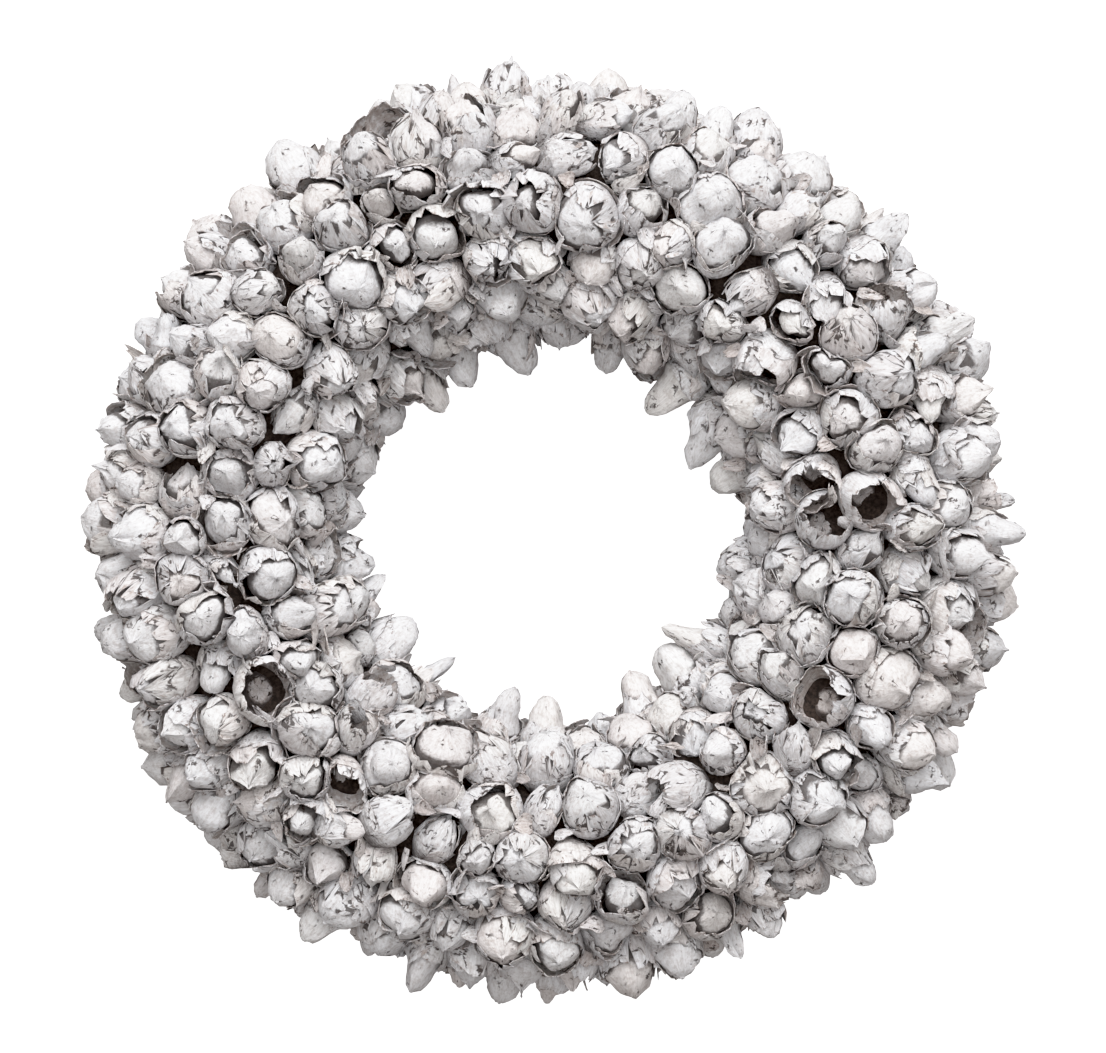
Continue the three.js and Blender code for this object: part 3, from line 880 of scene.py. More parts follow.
def add_nut(shells, placed, body, rng, form, edges, sides, rings, inside, finish):
    """Puts the nut in a bud. Its form says how far it stands off its cup, and where it has a fold."""
    turn = body["spin"] + 2 * math.pi * np.arange(sides) / sides
    edge = highest_edge(edges, turn)
    low = float(np.clip(edge.min() - 0.1, -0.1, 0.6))
    rises = np.concatenate(([HIDDEN_RISE], np.linspace(low, LAST_RISE, rings)))
    fold = form["fold"] * smooth_step(0.2, 0.6, rises)[:, None]
    fold = fold * np.exp(-((np.sin((turn - form["fold_turn"]) / 2) / FOLD_WIDTH) ** 2))
    rough = NUT_ROUGHNESS * rng.normal(0, 1, (len(rises), sides)) * smooth_step(0, 0.2, rises)[:, None]
    points = body_points(body, turn[None, :], rises[:, None], rough - fold - form["gap"])
    last = points[-1]
    top = body["belly"] + body["crown"] - form["gap"]
    nipple = rng.uniform(0, LONGEST_NIPPLE)
    button = rng.uniform(*BUTTON_SIZES)
    base = last * (button, button, 1)
    brim = last * (BRIM_SHARE * button, BRIM_SHARE * button, 1)
    base[:, 2] = last[:, 2] + 0.7 * (top - last[:, 2])
    brim[:, 2] = top + nipple
    points = np.concatenate((points, base[None], brim[None]))
    rises = np.concatenate((rises, (BASE_RISE, BRIM_RISE)))
    off_turn = rng.uniform(0, 2 * math.pi)
    aside = form["off"] + form["bow"] * np.clip(rises - 0.35, 0, 1) ** 2
    points = points + aside[:, None, None] * np.array((math.cos(off_turn), math.sin(off_turn), 0))
    end = points[-1].mean(axis=0)[None, :] - (0, 0, 0.4 * nipple)
    root = np.array([[0, 0, body["belly"] - (body["belly"] - ROOT_LEVEL) * 0.8]])
    points = placed(np.concatenate((points.reshape(-1, 3), end, root)))
    count = len(rises)
    all_rises = np.concatenate((np.repeat(rises, sides), [1, -0.8]))
    edge = np.concatenate((np.tile(edge, count), [edge.min(), edge.max()]))
    # Painted shadow with some dirt: dark where the tepals cover the nut and in a thin line above their rims.
    dirt = 1 - smooth_step(-0.08, 0.06, all_rises - edge)
    tint = np.full_like(dirt, rng.uniform())
    near_tip = rng.uniform(0, 0.8) * smooth_step(LAST_RISE, BASE_RISE, all_rises)
    wear_and_shade = np.stack((dirt, np.full_like(dirt, inside), near_tip, tint), axis=-1)
    turns = np.concatenate((np.tile(turn, count), [0, 0]))
    fibre = fibre_at(turns, 30 * all_rises, rng.uniform(-50, 50, 3))
    fibre[-2:] = fibre[-2:] - (FIBRE_RADIUS, 0, 0)
    faces, maps = nut_faces(sides, count)
    width = 2 * math.pi * body["outline"][0].real * 0.8
    height = 1.3 * (body["belly"] + body["crown"] - ROOT_LEVEL)
    shells.add(points, fibre, wear_and_shade, faces, maps, (width, height), finish)


print("a nut has", 2 * NUT_SIDES * (NUT_RINGS + 3), "triangles")

# %% [markdown]
# ## Four kinds of bud
# Half of the buds are closed, with their tepals' rims close round the nut's tip. A quarter have
# opened: the rims stand off and the ridged nut shows. A few have lost their nut: they are empty cups
# that lean, and show their dark inside and the seat where the nut sat. The rest lie over. A kind is
# a range for each number of the bud's form, and each bud draws its own numbers from those ranges.

# %% Four kinds of bud
BUD_KINDS = {
    "closed": {"rim": (0.4, 0.78), "drop": (0.1, 0.4), "flare": (-0.1, 0.3), "rag": 0.04},
    "opened": {"rim": (0.15, 0.6), "drop": (0.15, 0.45), "flare": (-0.1, 0.7), "rag": 0.05},
    "empty": {"rim": (0.38, 0.6), "drop": (0.0, 0.3), "flare": (-0.2, 1.4), "rag": 0.022},
    "turned": {"rim": (0.2, 0.68), "drop": (0.15, 0.45), "flare": (0, 0.6), "rag": 0.045},
}
NOSED_RIM = (-0.1, 0.35)
SHRUNK_SHARE, SHRUNK_GAPS, FULL_GAPS = 0.38, (1.4, 3.3), (0.35, 0.8)
FOLDED_SHARE, FOLD_DEPTHS = 0.6, (0.8, 3.2)
BOWED_SHARE, LARGEST_BOW = 0.5, 4
CLEARANCE = 0.8
DENT_SPREADS, DENT_DEPTHS = (0.02, 0.16), (-0.9, 1.6)
TURNED_WIDTH, TURNED_BELLY, TURNED_CROWN = 0.84, 71, 20
EMPTY_CROWN = 18
LOWEST_BELLY = 64


def form_of(kind, nosed, rng):
    """The numbers for the side view of a bud, and how flat its three faces are."""
    if nosed:
        return {"shoulder": rng.uniform(0.15, 0.4), "blunt": 1.8, "nose": rng.uniform(0.72, 0.95),
                "taper": rng.uniform(2.6, 5), "ridges": rng.uniform(0.1, 0.35)}
    if kind == "closed":
        return {"shoulder": rng.uniform(0.85, 1), "blunt": rng.uniform(1.8, 2.6),
                "nose": rng.uniform(0.2, 0.45), "taper": rng.uniform(1.6, 3.2),
                "ridges": rng.uniform(0.2, 0.55)}
    if kind == "empty":
        return {"shoulder": 1, "blunt": 2.2, "nose": 0.1, "taper": 2, "ridges": rng.uniform(0, 0.2)}
    return {"shoulder": rng.uniform(0.65, 1), "blunt": rng.uniform(1.6, 2.4),
            "nose": rng.uniform(0.25, 0.6), "taper": rng.uniform(1.7, 3.4),
            "ridges": rng.uniform(0.25, 0.7)}


def nut_fit(rng):
    """How a nut sits in its cup: most fill it, and some have shrunk and lie against one side."""
    shrunk = rng.uniform() < SHRUNK_SHARE
    gap = rng.uniform(*SHRUNK_GAPS) if shrunk else rng.uniform(*FULL_GAPS)
    fold = rng.uniform(*FOLD_DEPTHS) if rng.uniform() < FOLDED_SHARE else 0
    return {"gap": gap, "off": 0.8 * (gap - FULL_GAPS[0]),
            "bow": rng.uniform(0, LARGEST_BOW) * (rng.uniform() < BOWED_SHARE),
            "fold": fold, "fold_turn": rng.uniform(0, 2 * math.pi)}


def body_of(bud, outline, tip, nosed, rng):
    """The bud's body, from its kind and from the level of its tip."""
    form = form_of(bud["kind"], nosed, rng)
    # A full cup gets painted shade deep in its inside; an empty one shows its inside lit.
    body = {"outline": outline, "share": rng.uniform(0.95, 1.09), "clearance": CLEARANCE,
            "spin": bud["spin"] + 0.5, "ridges": form["ridges"],
            "inside_dirt": 0 if bud["kind"] == "empty" else 0.9}
    body["dents"] = []
    for _ in range(rng.integers(6, 12)):
        turn, up = rng.uniform(0, 2 * math.pi), rng.uniform(-0.3, 0.97)
        facing = (math.sqrt(1 - up**2) * math.cos(turn), math.sqrt(1 - up**2) * math.sin(turn), up)
        body["dents"].append((facing, rng.uniform(*DENT_SPREADS), rng.uniform(*DENT_DEPTHS)))
    if bud["kind"] == "turned":
        body["share"] *= TURNED_WIDTH
        body["belly"], body["crown"] = TURNED_BELLY, TURNED_CROWN + max(tip - bud["tip"], 0)
    elif bud["kind"] == "empty":
        body["belly"], body["crown"] = MEAN_BELLY + rng.uniform(-2, 3), EMPTY_CROWN
    else:
        body["belly"] = max(MEAN_BELLY + 0.65 * (min(tip, bud["tip"]) - MEAN_TIP), LOWEST_BELLY)
        body["crown"] = tip - body["belly"] - rng.uniform(0, 1)
    body["side"] = side_view(form, body["crown"] / outline[0].real)
    return body


trial_body = body_of(buds[200], outlines[200], buds[200]["tip"], False, np.random.default_rng(0))
print("a", buds[200]["kind"], "bud's belly is at level", round(trial_body["belly"], 1))

# %% [markdown]
# ## How far out a bud reaches
# Seen against the light, the wreath's edges aren't even. Some buds end in a long nose, most of all in
# one row that is foremost round the hole. Their neighbours in the hole stand further back, so that
# the noses show between them. This is decided first, because a nosed bud has another form.

# %% How far out a bud reaches
NOSE_SHARE_ON_TOP = 0.14
NOSE_SHARE_OUTSIDE = 0.4
NOSE_SHARE_INSIDE = 0.8
LONGEST_NOSE_OUTSIDE = 3.5
LONGEST_NOSE_INSIDE = 12
FOREMOST_ROW = math.radians(-91)
FOREMOST_WIDTH = 0.2
DRAWN_IN_AT_HOLE = 26
LOWEST_TIP = 77


def nearness_to_edge(tube_angle):
    """0 on top of the wreath, and 1 where it ends to the eye, outside or in the hole."""
    return float(smooth_step(0.55, 0.95, abs(math.sin(tube_angle))))


def reach_of(bud, tube_angle, rng):
    """Whether a bud has a nose, and the level of its tip."""
    at_edge = nearness_to_edge(tube_angle)
    at_hole = tube_angle < 0
    off_row = (tube_angle - FOREMOST_ROW) / FOREMOST_WIDTH
    foremost = math.exp(-(off_row**2)) if at_hole else 0
    edge_share = NOSE_SHARE_INSIDE * foremost if at_hole else NOSE_SHARE_OUTSIDE
    nose_share = NOSE_SHARE_ON_TOP + (edge_share - NOSE_SHARE_ON_TOP) * at_edge
    nosed = bud["kind"] != "empty" and rng.uniform() < nose_share
    tip = bud["tip"]
    if nosed:
        longest = LONGEST_NOSE_INSIDE if at_hole else LONGEST_NOSE_OUTSIDE
        tip += rng.uniform(-0.2, 1) * longest * (0.3 + 0.7 * at_edge)
    elif at_hole:
        drawn_in = DRAWN_IN_AT_HOLE * at_edge * (1 - 0.6 * foremost)
        tip = max(tip - rng.uniform(0.3, 1) * drawn_in, min(tip, LOWEST_TIP))
    return nosed, tip


foremost_buds = [b for b in buds if abs(tube_angle_at(b["y"]) - FOREMOST_ROW) < FOREMOST_WIDTH]
print(len(foremost_buds), "buds stand in the foremost row of the hole")

# %% [markdown]
# ## One bud
# Three inner tepals and three outer ones go round each body, a sixth of a turn apart, and then comes
# the nut, or the seat in an empty cup. Here and there one tepal is broken short or has peeled away.
# Buds that face down and back get a coarser grid, and empty cups a finer one, since their rim shows
# all round. The draws come from a generator that is seeded with the bud's own number, so that a
# change to one bud leaves the others alone.

# %% One bud
FRONT_DETAIL = {"inner": (FRONT_COLUMNS, 5), "outer": (8, 3), "sides": NUT_SIDES, "rings": NUT_RINGS}
BACK_DETAIL = {"inner": (13, 4), "outer": (6, 2), "sides": 14, "rings": 6}
EMPTY_DETAIL = {**FRONT_DETAIL, "inner": (26, 6)}
BACK_FROM = math.radians(100)
INNER_TEPAL = {"foot": -0.95, "stand": 0.25, "tuck": 0.5, "curl_up": 3}
OUTER_TEPAL = {"foot": -0.98, "stand": 0.95, "tuck": 0.15, "curl_up": 0.9, "rag": 0.03}
LEAN_SHARE = 2.5
PIVOT_LEVEL = 66
TURNED_PIVOT = 72
TURNED_ANGLES = (math.radians(50), math.radians(78))
EMPTY_EXTRA_LEANS = (0.15, 0.55)
BROKEN_SHARE = 0.38
PEELED_SHARE, PEELED_FLARES, PEELED_RIM = 0.18, (2.5, 6), 0.45
FLAT_OUTER_SHARE = 0.86
SEAT_BODY = {"belly": 60, "crown": 3, "ridges": 0, "dents": []}
SEAT_FORM = {"gap": 0.6, "off": 0, "bow": 0, "fold": 0, "fold_turn": 0}
SEAT_SIDES, SEAT_RINGS, SEAT_INSIDE = 12, 4, 0.8


def detail_of(bud, tube_angle):
    """How fine the bud's grids are."""
    if abs(tube_angle) > BACK_FROM:
        return BACK_DETAIL
    return EMPTY_DETAIL if bud["kind"] == "empty" else FRONT_DETAIL


def stance_of(bud, tip, rng):
    """The function that stands a bud on the wreath, leaning as its kind does."""
    angle = LEAN_SHARE * bud["lean"] * mean_radius / (MEAN_TIP - PIVOT_LEVEL)
    lift, pivot = 0, PIVOT_LEVEL
    if bud["kind"] == "empty":
        angle += rng.uniform(*EMPTY_EXTRA_LEANS)
    if bud["kind"] == "turned":
        angle = rng.uniform(*TURNED_ANGLES)
        pivot = TURNED_PIVOT
        lift = min(tip, bud["tip"]) - TURNED_PIVOT - mean_radius
    shift = rng.uniform(-1.3, 1.3, 2)
    return bud_stance(bud, pivot, math.pi / 2 - bud["lean_angle"], angle, shift, lift)


def add_bud(shells, bud, outline, rng):
    """Adds one bud: three inner and three outer tepals, and its nut or its empty seat."""
    kind = BUD_KINDS[bud["kind"]]
    tube_angle = tube_angle_at(bud["y"] + bud["middle"][1])
    detail = detail_of(bud, tube_angle)
    nosed, tip = reach_of(bud, tube_angle, rng)
    body = body_of(bud, outline, tip, nosed, rng)
    placed = stance_of(bud, tip, rng)
    low_rim, high_rim = NOSED_RIM if nosed else kind["rim"]
    rim = rng.uniform(low_rim, high_rim) - (0.15 * nearness_to_edge(tube_angle) if not nosed else 0)
    tip_off = rng.uniform(0, 2 * math.pi)
    broken = rng.integers(0, 3) if rng.uniform() < BROKEN_SHARE else None
    peeled = rng.integers(0, 3) if rng.uniform() < PEELED_SHARE else None
    edges = []
    for n in range(3):
        turn = bud["spin"] + 2 * math.pi * n / 3 + rng.uniform(-0.15, 0.15)
        own_rim = rim + 0.17 * math.cos(turn - tip_off) + rng.uniform(-0.1, 0.1)
        rag = kind["rag"]
        flare = rng.uniform(*kind["flare"])
        if n == broken:
            own_rim -= rng.uniform(0.2, 0.45)
            rag *= 1.8
        if n == peeled:
            flare += rng.uniform(*PEELED_FLARES)
            rag *= 0.6
            own_rim = min(own_rim, PEELED_RIM)
        half, drop = rng.uniform(1.3, 1.5), rng.uniform(*kind["drop"])
        edges.append((turn, half, own_rim, drop))
        add_tepal(shells, placed, body, rng, detail["inner"], turn=turn, half=half, rim=own_rim, drop=drop,
                  flare=flare, rag=rag, **INNER_TEPAL)
        turn += math.pi / 3 + rng.uniform(-0.2, 0.2)
        flare = rng.uniform(-0.3, 0.2) if rng.uniform() < FLAT_OUTER_SHARE else rng.uniform(1, 4)
        half, rim_there, drop = rng.uniform(0.85, 1.25), rng.uniform(-0.25, 0.4), rng.uniform(0.15, 0.45)
        add_tepal(shells, placed, body, rng, detail["outer"], turn=turn, half=half, rim=rim_there, drop=drop,
                  flare=flare, **OUTER_TEPAL)
    if bud["kind"] == "empty":
        seat = {**body, **SEAT_BODY, "share": 0.8 * body["share"]}
        whole_rim = [(0, math.pi, 0.7, 0)]
        add_nut(shells, placed, seat, rng, SEAT_FORM, whole_rim, SEAT_SIDES, SEAT_RINGS, SEAT_INSIDE, TEPAL)
    else:
        add_nut(shells, placed, body, rng, nut_fit(rng), edges, detail["sides"], detail["rings"], 0, NUT)


trial = Shells()
add_bud(trial, buds[200], outlines[200], np.random.default_rng(0))
print("a bud has", sum(len(f) * (k - 2) for k in (3, 4) for f in trial.faces[k]), "triangles")

# %% [markdown]
# ## The glued roots
# Under the buds the straw is hidden by a crust of glue, stalks and dirt that the roots stand in.
# Where three buds meet, one looks down on it as a dark hollow, and its near-black colour paints the
# shade of that hollow. It is one closed slab for each sixteenth of the wreath, whose corners are the
# corners of the buds' grounds.

# %% The glued roots
CRUST_TOP = 59
CRUST_FOOT = 49.6
CRUST_RISE = 2
CRUST_UNEVEN = (-1.5, 1)
CRUST_MAP_SIZE = (60, 100)


def point_on_tube(x, y, level):
    """The point at a place on the map and a level."""
    centre, axes = place_on_tube(x, tube_angle_at(y))
    return centre + axes[:, 2] * level


def corner_name(i, ground, n):
    """A name for a corner that is the same from each bud that it belongs to."""
    return " ".join(sorted(map(str, (i, ground[n - 1][2], ground[n][2]))))


def add_crust(shells, members, rng):
    """The slab of glue and stalks under the buds of one cluster."""
    numbers = {}
    points, flat = [], []

    def corner(name, x, y, level):
        if name not in numbers:
            numbers[name] = len(points)
            points.append(point_on_tube(x, y, level))
            flat.append((x, y))
        return numbers[name]

    faces = []
    for i in members:
        bud = buds[i]
        ground = bud["ground"]
        mid_x, mid_y = bud["x"] + bud["middle"][0], bud["y"] + bud["middle"][1]
        top = corner(("top", i), mid_x, mid_y, CRUST_TOP + CRUST_RISE)
        foot = corner(("foot", i), mid_x, mid_y, CRUST_FOOT)
        around = []
        for n, (x, y, beyond) in enumerate(ground):
            name = corner_name(i, ground, n)
            x, y = bud["x"] + wrapped(x), bud["y"] + y
            high = corner(("high", name), x, y, CRUST_TOP + rng.uniform(*CRUST_UNEVEN))
            around.append((high, corner(("low", name), x, y, CRUST_FOOT), beyond))
        for n, (high, low, beyond) in enumerate(around):
            next_high, next_low, _ = around[(n + 1) % len(around)]
            faces.append((top, next_high, high))
            faces.append((foot, low, next_low))
            if isinstance(beyond, str) or buds[beyond]["cluster"] != bud["cluster"]:
                faces.append((high, next_high, next_low))
                faces.append((high, next_low, low))
    points, faces, flat = np.array(points), np.array(faces), np.array(flat)
    flat = (flat - flat.min(axis=0)) / np.ptp(flat, axis=0)
    wear_and_shade = np.tile((1.0, 0.0, 0.0, rng.uniform()), (len(points), 1))
    shells.add(above_floor(points), points * 0.4, wear_and_shade, [faces], [flat[faces]], CRUST_MAP_SIZE, BED)


print("the crust is", round(CRUST_TOP - CRUST_FOOT, 1), "mm thick")

# %% [markdown]
# ## Loose tepals
# Tepals that fell off were stuck back in between the buds, or stayed where they fell: curled
# chips of card-thick scale with torn ends. They stand wedged where three buds meet, or lie there.
# The frame raises its valleys at a quarter of those corners, by one draw for each corner. This
# script makes the same draws and puts chips at half of the corners, so every raised valley has one.

# %% Loose tepals
FRAME_SHARE = 0.25
CHIP_SHARE = 0.5
CHIP_COLUMNS = 6
CHIP_ROWS = 3
LYING_SHARE = 0.6
SIDE_FROM = 0.75
LYING_LEVELS, LYING_SIDE_LEVELS, STANDING_LEVELS = (78, 85), (74, 79), (66, 75)
LYING_TILTS, STANDING_TILTS = (0.8, 1.4), (0.05, 0.6)
CHIP_LENGTHS, CHIP_HALF_WIDTHS = (10, 20), (4.5, 9)
CHIP_ROUNDINGS, CHIP_BENDS = (5.5, 12), (-0.005, 0.04)
CHIP_THICKNESS, CHIP_THINNING = 0.75, 0.25


def corner_draw(name):
    """The frame's own draw for a corner between three buds, or 1 at the edge of the covered ground."""
    members = name.split(" ")
    if not all(m.isdigit() for m in members):
        return 1
    own = draws_from((SEED + sum((int(m) + 1) * (int(m) + 7) for m in members)) % 2**32)
    next(own)
    return next(own)


def add_chip(shells, x, y, rng):
    """A curled chip, wedged at a place on the map."""
    centre, axes = place_on_tube(x, tube_angle_at(y))
    lying = rng.uniform() < LYING_SHARE
    levels = STANDING_LEVELS
    if lying:
        at_side = abs(math.sin(tube_angle_at(y))) > SIDE_FROM
        levels = LYING_SIDE_LEVELS if at_side else LYING_LEVELS
    foot_level = rng.uniform(*levels)
    tilt = rng.uniform(*(LYING_TILTS if lying else STANDING_TILTS))
    length, half_width = rng.uniform(*CHIP_LENGTHS), rng.uniform(*CHIP_HALF_WIDTHS)
    round_radius, bend = rng.uniform(*CHIP_ROUNDINGS), rng.uniform(*CHIP_BENDS)
    across = np.linspace(-1, 1, CHIP_COLUMNS + 1)
    up = np.linspace(0, 1, CHIP_ROWS + 1)
    ends = length * (1 - 0.3 * np.abs(across) ** 2.5) + ragged_line(rng, CHIP_COLUMNS + 1, 0.45, 1)
    along = up[:, None] * ends[None, :]
    width = half_width * (0.6 + 0.4 * np.sin(math.pi * np.clip(up * 0.85 + 0.1, 0, 1)))
    width = width * (1 + 0.06 * rng.normal(0, 1, CHIP_ROWS + 1))
    angle = across[None, :] * width[:, None] / round_radius
    flutter = rng.normal(0, 0.18, along.shape)

    def face_at(depth):
        """The chip's sheet, moved out by a depth."""
        radius = round_radius + depth
        deep = radius * np.cos(angle) - round_radius - bend * along**2 + flutter
        return np.stack((radius * np.sin(angle), deep, along), axis=-1)

    thick = CHIP_THICKNESS - CHIP_THINNING * up[:, None]
    outer, inner = face_at(0 * angle), face_at(-thick * np.ones_like(angle))
    points = np.concatenate((outer, inner[::-1])).reshape(-1, 3)
    roll = np.array(Matrix.Rotation(rng.uniform(0, 2 * math.pi), 3, "Z"))
    lean = turned_towards(rng.uniform(0, 2 * math.pi), tilt)
    points = (points - (0, 0, 0.5 * length * lying)) @ roll.T @ lean.T + (0, 0, foot_level)
    points = above_floor(points @ axes.T + centre)
    near_sides = smooth_step(0.75, 1, np.abs(across))[None, :]
    near_rim = np.maximum(smooth_step(0.75, 1, up)[:, None], near_sides)
    near_rim = np.concatenate((near_rim, near_rim[::-1]))
    inside = np.concatenate((np.zeros_like(angle), np.ones_like(angle)))
    # Darker towards its foot, which is wedged down among the buds.
    dirt = 0.5 * (1 - np.concatenate((up, up[::-1])))[:, None] * np.ones_like(inside)
    wear_and_shade = np.stack((dirt, inside, near_rim, np.full_like(inside, rng.uniform())), axis=-1).reshape(-1, 4)
    sheet = np.stack((across[None, :] * half_width * np.ones_like(along), 0 * along, along), axis=-1)
    fibre = np.concatenate((sheet, sheet[::-1])).reshape(-1, 3) + rng.uniform(-50, 50, 3)
    faces, maps = sheet_faces(CHIP_COLUMNS, CHIP_ROWS)
    shells.add(points, fibre, wear_and_shade, [faces], [maps], (2 * half_width, 2.2 * length), CHIP)


def loose_tepals():
    """The corners that hold a loose tepal, as name, x, y and the cluster they belong to."""
    found = {}
    for i, bud in enumerate(buds):
        for n, (x, y, _) in enumerate(bud["ground"]):
            name = corner_name(i, bud["ground"], n)
            if name not in found and corner_draw(name) < CHIP_SHARE:
                found[name] = (bud["x"] + x, bud["y"] + y, bud["cluster"])
    return found


chips = loose_tepals()
on_ridges = sum(corner_draw(name) < FRAME_SHARE for name in chips)
print(len(chips), "loose tepals,", on_ridges, "of them where the frame has one")

# %% [markdown]
# ## Straw
# The ring that carries the buds is a bundle of wheat straw, bent round and bound. On the wreath's
# back it shows between the lowest buds. A smooth dark core would give it away, so a few hundred
# single straws lie on the core, each a flattened half-round that wanders a little, and slightly more
# of them on the outer side, where the way round is longer. The bundle is drawn in under every turn
# of twine, and each straw has rings there so that it can follow the groove.

# %% Straw
TWINE_TURNS = 18
TWINE_START = math.radians(22.5)
GROOVE_DEPTH = 2.8
GROOVE_WIDTH = 6
CORE_LEVEL = 46.4
STRAW_FLOOR_GAP = 0.3
STRAW_COUNT = 470
STRAW_FROM = math.radians(112)
STRAW_STEP = 20
GROOVE_SIDE = 4.5
MORE_OUTSIDE = 0.11
CORE_SHADE = 0.8
CORE_STEPS, CORE_SIDES = 150, 20
CORE_AROUND = 47
CORE_MAP_SIZE = (260, 700)
FLAT_BACK_SPARE = 1.6
STRAW_LENGTHS = (70, 170)
STRAW_HALF_WIDTHS, STRAW_HEIGHTS, STRAW_LAYERS = (1.3, 2.2), (0.9, 1.5), (-0.3, 0.1)
STRAW_SECTION = np.array([(-1, -0.9), (-0.75, 0.6), (0, 1), (0.75, 0.6), (1, -0.9)])
STRAW_NARROWING = 0.25
STRAW_DRAWS = 1000


def groove_at(ring_angle, tube_angle, level):
    """How far the twine has drawn the bundle in there."""
    turns = (ring_angle * TWINE_TURNS - tube_angle + TWINE_START) / (2 * math.pi)
    off_turn = (turns - np.round(turns)) * 2 * math.pi / TWINE_TURNS
    distance = off_turn * (RING_RADIUS + level * np.sin(tube_angle))
    return GROOVE_DEPTH * np.exp(-((distance / GROOVE_WIDTH) ** 2))


def bundle_points(ring_angle, tube_angle, height):
    """Points on the bundle at a height above its core. The bundle is flat where it lies."""
    down = np.maximum(-np.cos(tube_angle), 1e-3)
    level = CORE_LEVEL + height
    level = level - groove_at(ring_angle, tube_angle, level)
    flat = (TUBE_HEIGHT - STRAW_FLOOR_GAP - FLAT_BACK_SPARE) / down
    level = np.minimum(level, flat + height - groove_at(ring_angle, tube_angle, level))
    reach = RING_RADIUS + level * np.sin(tube_angle)
    z = TUBE_HEIGHT + level * np.cos(tube_angle)
    return np.stack((reach * np.cos(ring_angle), reach * np.sin(ring_angle), z), axis=-1)


def tube_faces(steps, sides, closed):
    """The faces of a tube of rings and their UV corners: open tubes get an end face of triangles."""
    ring, n = np.meshgrid(np.arange(steps if closed else steps - 1), np.arange(sides), indexing="ij")
    ring, n = ring.ravel(), n.ravel()
    after, m = (ring + 1) % steps, (n + 1) % sides
    quads = np.stack((ring * sides + n, ring * sides + m, after * sides + m, after * sides + n), axis=1)
    left, right = n / sides, (n + 1) / sides
    low, high = ring / steps, (ring + 1) / steps
    maps = np.stack((left, low, right, low, right, high, left, high), axis=1).reshape(-1, 4, 2)
    if closed:
        return [quads], [maps]
    k = np.arange(1, sides - 1)
    zero = np.zeros_like(k)
    first = np.stack((zero, k + 1, k), axis=1)
    last = np.stack((zero, k, k + 1), axis=1) + (steps - 1) * sides
    ends = np.zeros((2 * len(k), 3, 2)) + (0.5, 1.0)
    return [quads, np.concatenate((first, last))], [maps, ends]


def add_core(shells):
    """The inside of the bundle, a ring all round, painted as straw in shade."""
    ring_angle = 2 * math.pi * np.arange(CORE_STEPS)[:, None] / CORE_STEPS
    tube_angle = -2 * math.pi * np.arange(CORE_SIDES)[None, :] / CORE_SIDES
    ring_angle, tube_angle = np.broadcast_arrays(ring_angle, tube_angle)
    points = bundle_points(ring_angle, tube_angle, 0.0).reshape(-1, 3)
    faces, maps = tube_faces(CORE_STEPS, CORE_SIDES, True)
    # The core's wear paints it as straw in shade, between and under the single straws.
    wear_and_shade = np.tile((CORE_SHADE, 0.0, 0.0, 0.5), (len(points), 1))
    along = ring_angle * RING_RADIUS
    fibre = np.stack((tube_angle * CORE_AROUND, 0 * along, along), axis=-1).reshape(-1, 3)
    shells.add(points, fibre, wear_and_shade, faces, maps, CORE_MAP_SIZE, 0)


def rings_of_straw(ring_angle, tube_angle, length, around):
    """Where a straw's rings are, as shares of its length from its middle: evenly, but one in the
    groove under each turn of twine and one on either side of it."""
    even = np.linspace(-0.5, 0.5, max(4, round(length / STRAW_STEP)))
    half = 0.5 * length / around
    turn = 2 * math.pi / TWINE_TURNS
    first = math.ceil(((ring_angle - half) * TWINE_TURNS - tube_angle + TWINE_START) / (2 * math.pi))
    crossings = np.arange(first, first + TWINE_TURNS) * turn + (tube_angle - TWINE_START) / TWINE_TURNS
    grooves = (crossings[crossings < ring_angle + half] - ring_angle) * around / length
    side = GROOVE_SIDE / length
    grooves = grooves[np.abs(grooves) < 0.5 - 2 * side]
    nearest = np.abs(even[:, None] - grooves[None, :]).min(axis=1, initial=1)
    clear = (nearest > 2 * side) | (np.abs(even) == 0.5)
    return np.sort(np.concatenate((even[clear], grooves - side, grooves, grooves + side)))


def add_straw(shells, rng):
    """One straw lying along the bundle, in its lower half."""
    length = rng.uniform(*STRAW_LENGTHS)
    aside = rng.uniform(-1, 1)
    aside -= MORE_OUTSIDE * (1 - aside**2)
    middle = math.pi + aside * (math.pi - STRAW_FROM)
    around = RING_RADIUS + CORE_LEVEL * math.sin(middle)
    start = rng.uniform(0, 2 * math.pi)
    share = rings_of_straw(start, middle, length, around)
    steps = len(share)
    ring_angle = start + share * length / around
    drift = rng.normal(0, 0.05) * share + 0.012 * np.sin(share * rng.uniform(3, 9) + rng.uniform(0, 6))
    tube_angle = middle + drift
    half_width, height, layer = (rng.uniform(*r) for r in (STRAW_HALF_WIDTHS, STRAW_HEIGHTS, STRAW_LAYERS))
    narrowed = half_width * (1 - STRAW_NARROWING * rng.uniform(0, 1, steps))
    widths = narrowed[:, None] * STRAW_SECTION[None, :, 0]
    heights = layer + height * STRAW_SECTION[None, :, 1] * np.ones((steps, 1))
    angle = tube_angle[:, None] - widths / CORE_LEVEL
    ring = ring_angle[:, None] * np.ones_like(angle)
    points = bundle_points(ring, angle, heights).reshape(-1, 3)
    faces, maps = tube_faces(steps, len(STRAW_SECTION), False)
    wear_and_shade = np.tile((0.0, 0.0, 0.0, rng.uniform()), (len(points), 1))
    along = share[:, None] * length * np.ones_like(widths)
    fibre = np.stack((widths, heights, along), axis=-1).reshape(-1, 3) + rng.uniform(-50, 50, 3)
    shells.add(points, fibre, wear_and_shade, faces, maps, (4 * half_width, length), 0)


